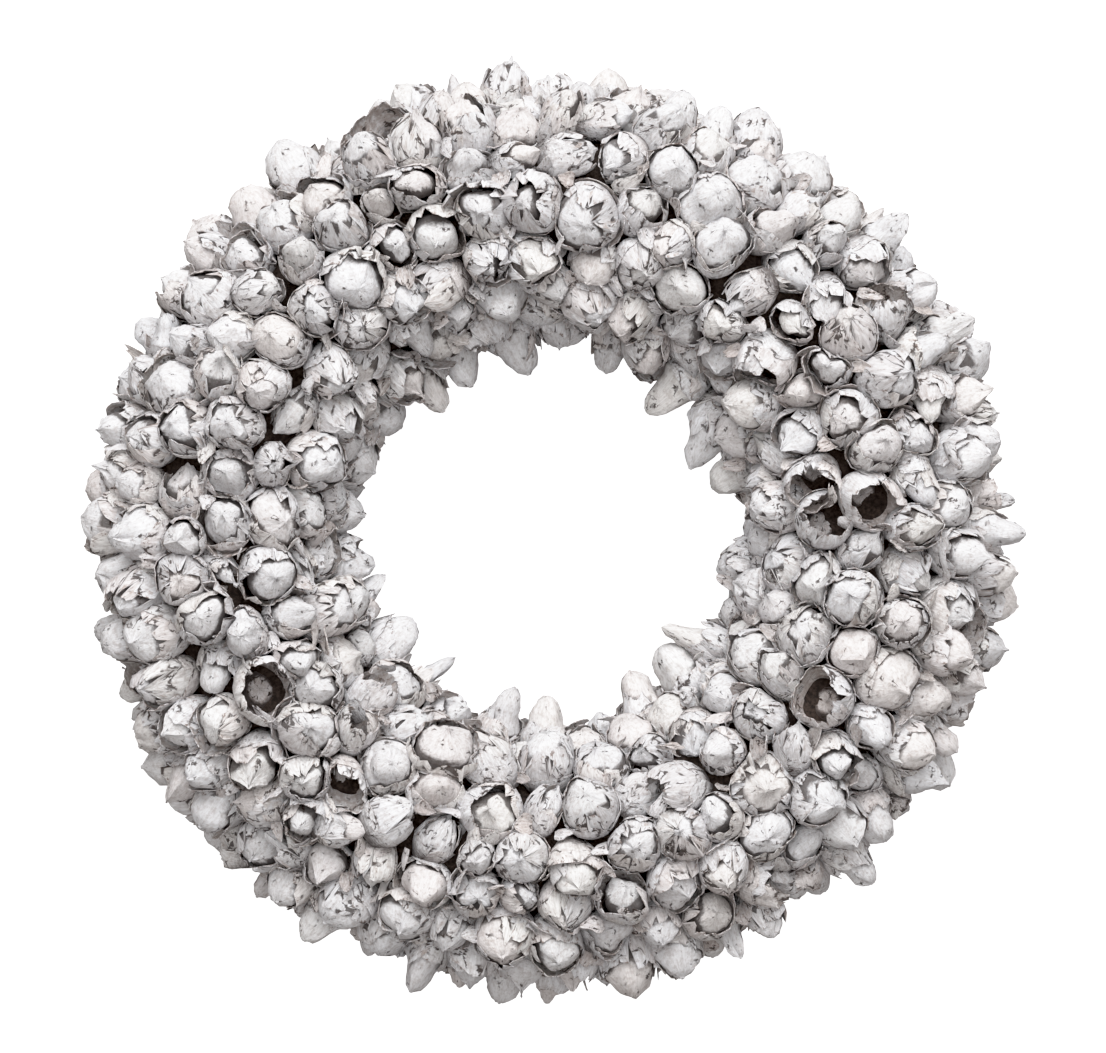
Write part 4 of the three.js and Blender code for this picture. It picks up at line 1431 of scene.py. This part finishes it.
straw_shells = Shells()
straw_rng = np.random.default_rng([SEED, STRAW_DRAWS])
add_core(straw_shells)
for _ in range(STRAW_COUNT):
    add_straw(straw_shells, straw_rng)
print(STRAW_COUNT, "straws and a core have", straw_shells.count, "corners")

# %% [markdown]
# ## Twine
# Jute twine binds the bundle: one line that winds round it 18 times and meets itself again. Two
# strands are twisted together, and the twist is modelled, because it is what tells twine from wire.
# Where the buds hide it, the strands run on with few rings.

# %% Twine
TWINE_HEIGHT = 1.85
STRAND_RADIUS = 0.85
STRAND_SIDES = 5
STRANDS_OVERLAP = 0.8
FIBRE_TWIST = 0.35
TWIST_LENGTH = 11
SEEN_STEP = 2
HIDDEN_STEP = 12


def twine_path():
    """Tube angles along the whole winding, and how far the strands have twisted at each."""
    angles, twists = [], []
    angle, twist = 0.0, 0.0
    end = 2 * math.pi * TWINE_TURNS
    while angle < end - 1e-6:
        angles.append(angle)
        twists.append(twist)
        seen = abs(wrapped(angle)) > STRAW_FROM
        step = SEEN_STEP if seen else HIDDEN_STEP
        angle += step / CORE_LEVEL
        twist += 2 * math.pi * SEEN_STEP / TWIST_LENGTH if seen else 0
    whole_twists = round(twist / (2 * math.pi))
    return np.array(angles), np.array(twists) * whole_twists * 2 * math.pi / twist


def add_strand(shells, tube_angle, twist, start):
    """One of the twine's strands: a tube that turns round the twine's own middle."""
    ring_angle = (tube_angle - TWINE_START) / TWINE_TURNS
    middle = bundle_points(ring_angle, tube_angle, TWINE_HEIGHT)
    ahead = np.roll(middle, -1, axis=0) - np.roll(middle, 1, axis=0)
    ahead /= np.linalg.norm(ahead, axis=1)[:, None]
    sideways = np.sin(tube_angle)
    outwards = np.stack((sideways * np.cos(ring_angle), sideways * np.sin(ring_angle),
                         np.cos(tube_angle)), axis=-1)
    side = np.cross(ahead, outwards)
    side /= np.linalg.norm(side, axis=1)[:, None]
    outwards = np.cross(side, ahead)
    turn = twist + start
    aside = np.cos(turn)[:, None] * outwards + np.sin(turn)[:, None] * side
    strand = middle + STRAND_RADIUS * STRANDS_OVERLAP * aside
    around = 2 * math.pi * np.arange(STRAND_SIDES) / STRAND_SIDES
    cos_around, sin_around = np.cos(around)[None, :, None], np.sin(around)[None, :, None]
    ring = cos_around * outwards[:, None, :] + sin_around * side[:, None, :]
    points = strand[:, None, :] + STRAND_RADIUS * ring
    steps = len(tube_angle)
    faces, maps = tube_faces(steps, STRAND_SIDES, True)
    # The winding is long and thin, so the map folds it into one column for each turn.
    column = np.floor(maps[0][:, :1, 1:] * TWINE_TURNS + 1e-6)
    folded = maps[0] * (1, TWINE_TURNS) - np.concatenate((0 * column, column), axis=2)
    maps = [(folded + np.concatenate((column, 0 * column), axis=2)) / (TWINE_TURNS, 1)]
    length = np.concatenate(([0], np.cumsum(np.linalg.norm(np.diff(middle, axis=0), axis=1))))
    twisted = around[None, :] - FIBRE_TWIST * length[:, None]
    fibre = np.stack((STRAND_RADIUS * np.cos(twisted), STRAND_RADIUS * np.sin(twisted),
                      length[:, None] * np.ones((1, STRAND_SIDES))), axis=-1)
    wear_and_shade = np.tile((0.0, 0.0, 0.0, start / 7), (steps * STRAND_SIDES, 1))
    points = points.reshape(-1, 3)
    points[:, 2] = np.maximum(points[:, 2], STRAW_FLOOR_GAP / 2)
    size = (2 * math.pi * STRAND_RADIUS * TWINE_TURNS, length[-1] / TWINE_TURNS)
    shells.add(points, fibre.reshape(-1, 3), wear_and_shade, faces, maps, size, 0)
    return length[-1]


twine_shells = Shells()
twine_angles, twine_twists = twine_path()
for start in (0, math.pi):
    twine_length = add_strand(twine_shells, twine_angles, twine_twists, start)
print("the twine is", round(twine_length / 1000, 2), "m long")

# %% [markdown]
# ## Effects that the finishes share
# Six finishes are built from a few effects, so each effect is a node group with named inputs and
# outputs. Most groups give a mask, and one gives the chalk's colour. The material that uses a group
# decides what comes of it. All of them read the fibre coordinate, which follows each shell. These
# helpers keep the node cells short enough to read.

# %% Helpers for nodes
def add_node(tree, kind, inputs=None, **settings):
    """A node with its settings made, and each input set to a value or joined to a socket."""
    made = tree.nodes.new(kind)
    for name, value in settings.items():
        setattr(made, name, value)
    for name, value in (inputs or {}).items():
        if isinstance(value, bpy.types.NodeSocket):
            tree.links.new(value, made.inputs[name])
        else:
            made.inputs[name].default_value = value
    return made


def new_group(name, inputs, outputs):
    """An empty node group: inputs and outputs are pairs of a name and 'Float', 'Vector' or 'Color'."""
    group = bpy.data.node_groups.new(name, "ShaderNodeTree")
    for label, kind in inputs:
        group.interface.new_socket(label, in_out="INPUT", socket_type="NodeSocket" + kind)
    for label, kind in outputs:
        group.interface.new_socket(label, in_out="OUTPUT", socket_type="NodeSocket" + kind)
    return group, group.nodes.new("NodeGroupInput").outputs, group.nodes.new("NodeGroupOutput").inputs


def maths(tree, operation, a, b=0.0, c=0.0):
    """A sum of up to three numbers or sockets."""
    return add_node(tree, "ShaderNodeMath", {0: a, 1: b, 2: c}, operation=operation).outputs[0]


def eased(tree, value, low, high, to_low=0.0, to_high=1.0):
    """The value brought from low..high to to_low..to_high with soft ends."""
    inputs = {"Value": value, "From Min": low, "From Max": high, "To Min": to_low, "To Max": to_high}
    return add_node(tree, "ShaderNodeMapRange", inputs, interpolation_type="SMOOTHSTEP").outputs["Result"]


def noise(tree, vector, scale, detail, roughness):
    """Cloudy noise around 0.5. The scale is how many clouds there are in a millimetre."""
    inputs = {"Vector": vector, "Scale": scale, "Detail": detail, "Roughness": roughness}
    return add_node(tree, "ShaderNodeTexNoise", inputs).outputs["Fac"]


def stretched(tree, vector, factors):
    """The coordinate with each of its numbers multiplied."""
    return add_node(tree, "ShaderNodeVectorMath", {0: vector, 1: factors}, operation="MULTIPLY").outputs[0]


def mixed(tree, share, first, second, blend="MIX"):
    """A colour between two."""
    inputs = {0: share, MIX_FIRST: first, MIX_SECOND: second}
    return add_node(tree, "ShaderNodeMix", inputs, data_type="RGBA", blend_type=blend).outputs[MIX_RESULT]


trial_group, trial_given, _ = new_group("Trial", [("Coordinate", "Vector")], [("Fac", "Float")])
noise(trial_group, trial_given["Coordinate"], 1, 2, 0.5)
print("a trial group has", len(trial_group.nodes), "nodes and", len(trial_group.links), "link")
bpy.data.node_groups.remove(trial_group)

# %% [markdown]
# ### Fibre lines
# A tepal is a leaf's cousin: fine veins run from its root to its rim, and the wash of paint settles
# between them. Noise that is fine across the fibre coordinate and long along it gives such lines.

# %% Fibre lines
LINE_STRETCH = (1, 1, 0.07)


def fibre_lines_group():
    """1 on a vein and 0 between veins."""
    inputs = [("Coordinate", "Vector"), ("Fineness", "Float")]
    group, given, wanted = new_group("Fibre Lines", inputs, [("Lines", "Float")])
    along = stretched(group, given["Coordinate"], LINE_STRETCH)
    fine = noise(group, along, given["Fineness"], detail=2.5, roughness=0.7)
    group.links.new(eased(group, fine, 0.34, 0.66), wanted["Lines"])
    return group


fibre_lines = fibre_lines_group()
print(fibre_lines.name, "gives", [s.name for s in fibre_lines.interface.items_tree])

# %% [markdown]
# ### Hairline cracks
# Thick chalky paint on something that shrinks as it dries cracks into small plates. The distance to
# the borders of a cell pattern gives thin lines, bent by noise and kept to patches, because sound
# paint has none.

# %% Hairline cracks
CRACK_BEND = (2.6, 2.6, 2.6)
CRACK_STRETCH = (1, 1, 0.4)
BEND_SCALE = 0.5
PATCH_SCALE = 0.16


def cracks_group():
    """1 in the middle of a crack and 0 on sound paint. Amount is how much of the paint has cracked."""
    inputs = [("Coordinate", "Vector"), ("Scale", "Float"), ("Width", "Float"), ("Amount", "Float")]
    group, given, wanted = new_group("Hairline Cracks", inputs, [("Cracks", "Float")])
    bend_inputs = {"Vector": given["Coordinate"], "Scale": BEND_SCALE, "Detail": 2.0}
    bend = add_node(group, "ShaderNodeTexNoise", bend_inputs)
    shifted = stretched(group, bend.outputs["Color"], CRACK_BEND)
    warped = add_node(group, "ShaderNodeVectorMath", {0: given["Coordinate"], 1: shifted})
    longer = stretched(group, warped.outputs[0], CRACK_STRETCH)
    cell_inputs = {"Vector": longer, "Scale": given["Scale"]}
    cells = add_node(group, "ShaderNodeTexVoronoi", cell_inputs, feature="DISTANCE_TO_EDGE")
    patch = noise(group, given["Coordinate"], PATCH_SCALE, detail=2, roughness=0.5)
    width = maths(group, "MULTIPLY", given["Width"], eased(group, bend.outputs["Fac"], 0.4, 0.66, 0.6, 2.6))
    share = maths(group, "DIVIDE", cells.outputs["Distance"], width)
    line = eased(group, share, 0.3, 1.0, 1.0, 0.0)
    bound = maths(group, "SUBTRACT", 1.0, given["Amount"])
    reach = maths(group, "SUBTRACT", patch, maths(group, "MULTIPLY", bound, 0.8))
    kept = eased(group, reach, 0.0, 0.12)
    group.links.new(maths(group, "MULTIPLY", line, kept), wanted["Cracks"])
    return group


hairline_cracks = cracks_group()
print(hairline_cracks.name, "has", len(hairline_cracks.nodes), "nodes")

# %% [markdown]
# ### Worn paint, dirt and painted shade
# Paint rubs off here and there, and a little more where something stands out. The torn rims stay
# mostly white, with a few bare brown specks. Dirt and painted shade darken the places where nothing
# rubs and little light reaches: at the roots, in the groove between a nut and its cup, and deep in
# the cups. Both read the wear and shade that was stored with the mesh, broken up by noise.

# %% Worn paint, dirt and painted shade
GRAIN_STRETCH = (1, 1, 0.6)
SPECK_SCALE = 1.1
MORE_BARE_AT_RIM = 0.13
BARE_FROM, BARE_FULL = 0.66, 0.76
DIRT_AND_SHADE_CLOUDS = 0.45
DIRT_AND_SHADE_BREAK_UP = 1.1
DIRT_AND_SHADE_FROM, DIRT_AND_SHADE_FULL = 0.15, 0.95


def worn_paint_group():
    """1 where the paint is gone and 0 where it is sound."""
    inputs = [("Coordinate", "Vector"), ("Rim", "Float"), ("Amount", "Float")]
    group, given, wanted = new_group("Worn Paint", inputs, [("Bare", "Float")])
    long_specks = stretched(group, given["Coordinate"], GRAIN_STRETCH)
    specks = noise(group, long_specks, SPECK_SCALE, detail=3, roughness=0.72)
    pushed = maths(group, "ADD", specks, maths(group, "MULTIPLY", given["Rim"], MORE_BARE_AT_RIM))
    pushed = maths(group, "ADD", pushed, given["Amount"])
    group.links.new(eased(group, pushed, BARE_FROM, BARE_FULL), wanted["Bare"])
    return group


def settled_dirt_group():
    """How much dirt and painted shade lies there, from the depth that the mesh stores."""
    inputs = [("Coordinate", "Vector"), ("Depth", "Float"), ("Amount", "Float")]
    group, given, wanted = new_group("Settled Dirt", inputs, [("Dirt And Shade", "Float")])
    cloud = noise(group, given["Coordinate"], DIRT_AND_SHADE_CLOUDS, detail=3, roughness=0.6)
    uneven = maths(group, "MULTIPLY", maths(group, "SUBTRACT", cloud, 0.5), DIRT_AND_SHADE_BREAK_UP)
    broken = maths(group, "ADD", given["Depth"], uneven)
    dirt = maths(group, "MULTIPLY", eased(group, broken, DIRT_AND_SHADE_FROM, DIRT_AND_SHADE_FULL), given["Amount"])
    group.links.new(dirt, wanted["Dirt And Shade"])
    return group


worn_paint = worn_paint_group()
settled_dirt = settled_dirt_group()
print(worn_paint.name, "and", settled_dirt.name, "have", len(worn_paint.nodes), "and",
      len(settled_dirt.nodes), "nodes")

# %% [markdown]
# ### Chalk
# Old whitewash is never one white. Each nut and tepal took the wash a little differently, so its
# tint comes from the shell's own number: mostly a cool neutral, at times creamy, pinkish or grey.
# Clouds of thinner, dirtier paint run across it.

# %% Chalk
CHALK_TINTS = ((0.0, (0.706, 0.705, 0.724)), (0.25, (0.782, 0.777, 0.79)), (0.5, (0.748, 0.752, 0.775)),
               (0.72, (0.785, 0.77, 0.753)), (0.86, (0.765, 0.723, 0.714)), (1.0, (0.67, 0.664, 0.68)))
CLOUD_DARKENING = (0.708, 0.67, 0.652, 1)
CLOUD_FROM, CLOUD_FULL = 0.42, 0.68
GRAIN_SCALE = 0.55


def chalk_group():
    """The colour of the wash, and the grain that it lies in."""
    inputs = [("Coordinate", "Vector"), ("Tint", "Float")]
    group, given, wanted = new_group("Chalk", inputs, [("Color", "Color"), ("Grain", "Float")])
    ramp = add_node(group, "ShaderNodeValToRGB", {"Fac": given["Tint"]})
    ramp.color_ramp.elements.remove(ramp.color_ramp.elements[1])
    ramp.color_ramp.elements[0].color = (*CHALK_TINTS[0][1], 1)
    for place, colour in CHALK_TINTS[1:]:
        ramp.color_ramp.elements.new(place).color = (*colour, 1)
    long_grain = stretched(group, given["Coordinate"], GRAIN_STRETCH)
    grain = noise(group, long_grain, GRAIN_SCALE, detail=4, roughness=0.72)
    darker = mixed(group, 1.0, ramp.outputs["Color"], CLOUD_DARKENING, "MULTIPLY")
    clouded = mixed(group, eased(group, grain, CLOUD_FROM, CLOUD_FULL), ramp.outputs["Color"], darker)
    group.links.new(clouded, wanted["Color"])
    group.links.new(grain, wanted["Grain"])
    return group


chalk = chalk_group()
print(len(CHALK_TINTS), "tints of chalk")

# %% [markdown]
# ## The whitewashed finishes
# The nut, the tepals and the loose chips wear the same wash over different skins. The nut is
# smooth and takes it best. A tepal is fibrous and browner on its inside. A loose chip is thinner and
# its skin shows warmer. One function makes all three, each from its own few values: the wash, the
# veins, the inside, the bare specks and the cracks go on one after the other, as on the real bud,
# and last comes the dirt, which also paints the shade in the crevices and under the rims.

# %% The whitewashed finishes
HUSK = (0.18, 0.134, 0.114, 1)
INSIDE = (0.385, 0.327, 0.3, 1)
DIRT_AND_SHADE = (0.03, 0.0185, 0.0145, 1)
CHALK_ROUGHNESS = 0.88
CHALK_SHINE = 0.25
CRACK_WIDTH = 0.06
DIRT_AND_SHADE_AMOUNT, BARE_STRENGTH, CRACK_STRENGTH = 0.85, 0.85, 0.9
LINE_HEIGHT, GRAIN_HEIGHT = -0.25, 2.2


class Finish:
    """A material with its shader and node tree, and the fibre coordinate and the wear and painted shade that
    meshes store.
    """

    def __init__(self, name, roughness):
        self.material = bpy.data.materials.new(name)
        self.material.use_nodes = True
        self.tree = self.material.node_tree
        self.shader = self.tree.nodes["Principled BSDF"]
        self.shader.inputs["Roughness"].default_value = roughness
        self.fibre = add_node(self.tree, "ShaderNodeAttribute", attribute_name="fibre").outputs["Vector"]
        wear_and_shade = add_node(self.tree, "ShaderNodeAttribute", attribute_name="wear_and_shade").outputs
        parts = add_node(self.tree, "ShaderNodeSeparateColor", {"Color": wear_and_shade["Color"]}).outputs
        # The first number is dirt together with painted shade.
        self.dirt, self.inside, self.rim = parts["Red"], parts["Green"], parts["Blue"]
        self.tint = wear_and_shade["Alpha"]

    def placed(self, group, **inputs):
        """The outputs of an effect, placed in this material and reading its fibre coordinate."""
        given = {"Coordinate": self.fibre, **inputs}
        return add_node(self.tree, "ShaderNodeGroup", given, node_tree=group).outputs

    def raised(self, height, strength, distance):
        """Turns a height into relief."""
        given = {"Height": height, "Strength": strength, "Distance": distance}
        bump = add_node(self.tree, "ShaderNodeBump", given)
        self.tree.links.new(bump.outputs["Normal"], self.shader.inputs["Normal"])

    def coloured(self, colour):
        """Gives the shader its colour."""
        self.tree.links.new(colour, self.shader.inputs["Base Color"])


def whitewashed(name, skin, inside_share, fineness, line_depth, crack_scale, crack_amount, bare_amount,
                relief):
    """A whitewashed skin. The shares and amounts go from 0, none, to 1, all over."""
    finish = Finish(name, CHALK_ROUGHNESS)
    tree = finish.tree
    wash = finish.placed(chalk, Tint=finish.tint)
    lines = finish.placed(fibre_lines, Fineness=fineness)["Lines"]
    cracks = finish.placed(hairline_cracks, Scale=crack_scale, Width=CRACK_WIDTH, Amount=crack_amount)
    bare = finish.placed(worn_paint, Rim=finish.rim, Amount=bare_amount)["Bare"]
    # Dirt together with painted shade, from the depth that the mesh stores.
    dirt = finish.placed(settled_dirt, Depth=finish.dirt, Amount=DIRT_AND_SHADE_AMOUNT)["Dirt And Shade"]
    lined = mixed(tree, maths(tree, "MULTIPLY", lines, line_depth), wash["Color"], skin)
    unpainted = eased(tree, wash["Grain"], 0.36, 0.6, to_low=0.35)
    unpainted = maths(tree, "MULTIPLY", maths(tree, "MULTIPLY", finish.inside, inside_share), unpainted)
    behind = mixed(tree, unpainted, lined, INSIDE)
    worn = mixed(tree, maths(tree, "MULTIPLY", bare, BARE_STRENGTH), behind, HUSK)
    cracked = mixed(tree, maths(tree, "MULTIPLY", cracks["Cracks"], CRACK_STRENGTH), worn, DIRT_AND_SHADE)
    # Last, dirt and painted shade darken the crevices and the places under the rims.
    finish.coloured(mixed(tree, dirt, cracked, DIRT_AND_SHADE))
    finish.shader.inputs["Specular IOR Level"].default_value = CHALK_SHINE
    grain_height = maths(tree, "MULTIPLY", wash["Grain"], GRAIN_HEIGHT)
    finish.raised(maths(tree, "MULTIPLY_ADD", lines, LINE_HEIGHT, grain_height), relief, 0.5 * MM)
    return finish.material


nut_finish = whitewashed(
    "whitewashed nut", skin=(0.34, 0.31, 0.29, 1), inside_share=0.0, fineness=1.5, line_depth=0.28,
    crack_scale=0.19, crack_amount=0.31, bare_amount=0.0, relief=0.75)
tepal_finish = whitewashed(
    "whitewashed tepal", skin=(0.3, 0.26, 0.245, 1), inside_share=0.85, fineness=1.8, line_depth=0.4,
    crack_scale=0.21, crack_amount=0.41, bare_amount=0.02, relief=0.9)
chip_finish = whitewashed(
    "whitewashed chip", skin=(0.4, 0.33, 0.3, 1), inside_share=0.7, fineness=1.6, line_depth=0.4,
    crack_scale=0.24, crack_amount=0.4, bare_amount=0.02, relief=0.9)
print("finishes:", nut_finish.name, tepal_finish.name, chip_finish.name)

# %% [markdown]
# ## Crust, straw and twine
# The crust between the roots is nearly black: old glue, husk dust and little paint, and painted shade
# of the deep gaps. Wheat straw is glossy along its length, and each straw has its own yellow, and the
# straw core is painted in its shade. Jute is duller and browner, with loose fibres that twist round
# the strand.

# %% Crust, straw and twine
CRUST_SHADED_DARK, CRUST_SHADED_LIGHT = (0.0135, 0.0085, 0.0065, 1), (0.055, 0.038, 0.03, 1)
STRAW_PALE, STRAW_GOLD = (0.66, 0.52, 0.29, 1), (0.5, 0.34, 0.15, 1)
STRAW_VEIN, STRAW_STAIN, STRAW_SHADE = (0.3, 0.19, 0.08, 1), (0.22, 0.14, 0.07, 1), (0.035, 0.024, 0.014, 1)
STRAW_ROUGHNESSES = (0.42, 0.68)
JUTE_BROWN, JUTE_PALE, JUTE_SHADE = (0.33, 0.22, 0.12, 1), (0.46, 0.34, 0.2, 1), (0.14, 0.085, 0.04, 1)


def crust_finish():
    """Dark clods of glue and dust, near black as painted shade of the deep gaps."""
    finish = Finish("glued roots", 0.95)
    clods = noise(finish.tree, finish.fibre, scale=0.8, detail=4, roughness=0.7)
    # Both clod colours are near black: glue and dust, and painted shade of the gaps.
    finish.coloured(mixed(finish.tree, eased(finish.tree, clods, 0.35, 0.7), CRUST_SHADED_DARK, CRUST_SHADED_LIGHT))
    finish.raised(clods, 0.9, 1.5 * MM)
    return finish.material


def straw_finish():
    """Straw from gold to pale, with veins and stains, and painted shade where it stands for the core."""
    finish = Finish("wheat straw", 0.5)
    tree = finish.tree
    lines = finish.placed(fibre_lines, Fineness=2.2)["Lines"]
    stains = noise(tree, stretched(tree, finish.fibre, (1, 1, 0.25)), scale=0.35, detail=3, roughness=0.6)
    straw = mixed(tree, finish.tint, STRAW_GOLD, STRAW_PALE)
    lined = mixed(tree, maths(tree, "MULTIPLY", lines, 0.45), straw, STRAW_VEIN)
    stained = mixed(tree, eased(tree, stains, 0.52, 0.75), lined, STRAW_STAIN)
    # Painted shade: the core's wear mixes in the shade colour of deep straw.
    finish.coloured(mixed(tree, finish.dirt, stained, STRAW_SHADE))
    tree.links.new(eased(tree, lines, 0.0, 1.0, *STRAW_ROUGHNESSES), finish.shader.inputs["Roughness"])
    finish.raised(lines, 0.5, 0.3 * MM)
    return finish.material


def twine_finish():
    """Jute in two browns, with darker gaps between its fibres."""
    finish = Finish("jute twine", 0.9)
    tree = finish.tree
    hairs = finish.placed(fibre_lines, Fineness=5.5)["Lines"]
    patches = noise(tree, finish.fibre, scale=0.12, detail=2, roughness=0.5)
    jute = mixed(tree, patches, JUTE_BROWN, JUTE_PALE)
    finish.coloured(mixed(tree, maths(tree, "MULTIPLY", hairs, 0.6), jute, JUTE_SHADE))
    finish.raised(hairs, 0.8, 0.3 * MM)
    return finish.material


glued_roots = crust_finish()
wheat_straw = straw_finish()
jute_twine = twine_finish()
print("finishes:", glued_roots.name, wheat_straw.name, jute_twine.name)

# %% [markdown]
# ## The pieces
# Each sixteenth of the wreath becomes one piece that stands for the frame's solid of the same
# number. The straw bundle and the twine stand for the other two. All of them ride on the wreath's
# one body.

# %% The pieces
SHARP_RIM = math.radians(48)
SHARP_STRAND = math.radians(75)
CRUST_DRAWS, CHIP_DRAWS = 2000, 3000


def stand_for(name, mesh, node):
    """Puts a mesh in the scene as the piece that replaces a node of the frame."""
    piece = bpy.data.objects.new(name, mesh)
    bpy.context.scene.collection.objects.link(piece)
    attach(piece, "root")
    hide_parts(node)


bud_triangles = 0
for cluster in range(CLUSTERS):
    members = [i for i, bud in enumerate(buds) if bud["cluster"] == cluster]
    shells = Shells()
    add_crust(shells, members, np.random.default_rng([SEED, CRUST_DRAWS + cluster]))
    for i in members:
        add_bud(shells, buds[i], outlines[i], np.random.default_rng([SEED, i]))
    for name, (x, y, owner) in chips.items():
        if owner == cluster:
            chip_seed = [SEED, CHIP_DRAWS] + [int(m) for m in name.split(" ")]
            add_chip(shells, x, y, np.random.default_rng(chip_seed))
    number = f"{cluster + 1:02d}"
    mesh = shells.mesh("buds_" + number, (nut_finish, tepal_finish, chip_finish, glued_roots), SHARP_RIM)
    stand_for(mesh.name, mesh, "bud_cluster_" + number)
    bud_triangles += triangles_of(mesh)
print("buds:", bud_triangles, "triangles")

straw_mesh = straw_shells.mesh("straw_bundle", (wheat_straw,), SHARP_RIM)
stand_for("straw_bundle", straw_mesh, "straw_ring")
twine_mesh = twine_shells.mesh("jute_twine", (jute_twine,), SHARP_STRAND)
stand_for("jute_twine", twine_mesh, "binding_twine")
print("straw:", triangles_of(straw_mesh), "twine:", triangles_of(twine_mesh), "triangles")
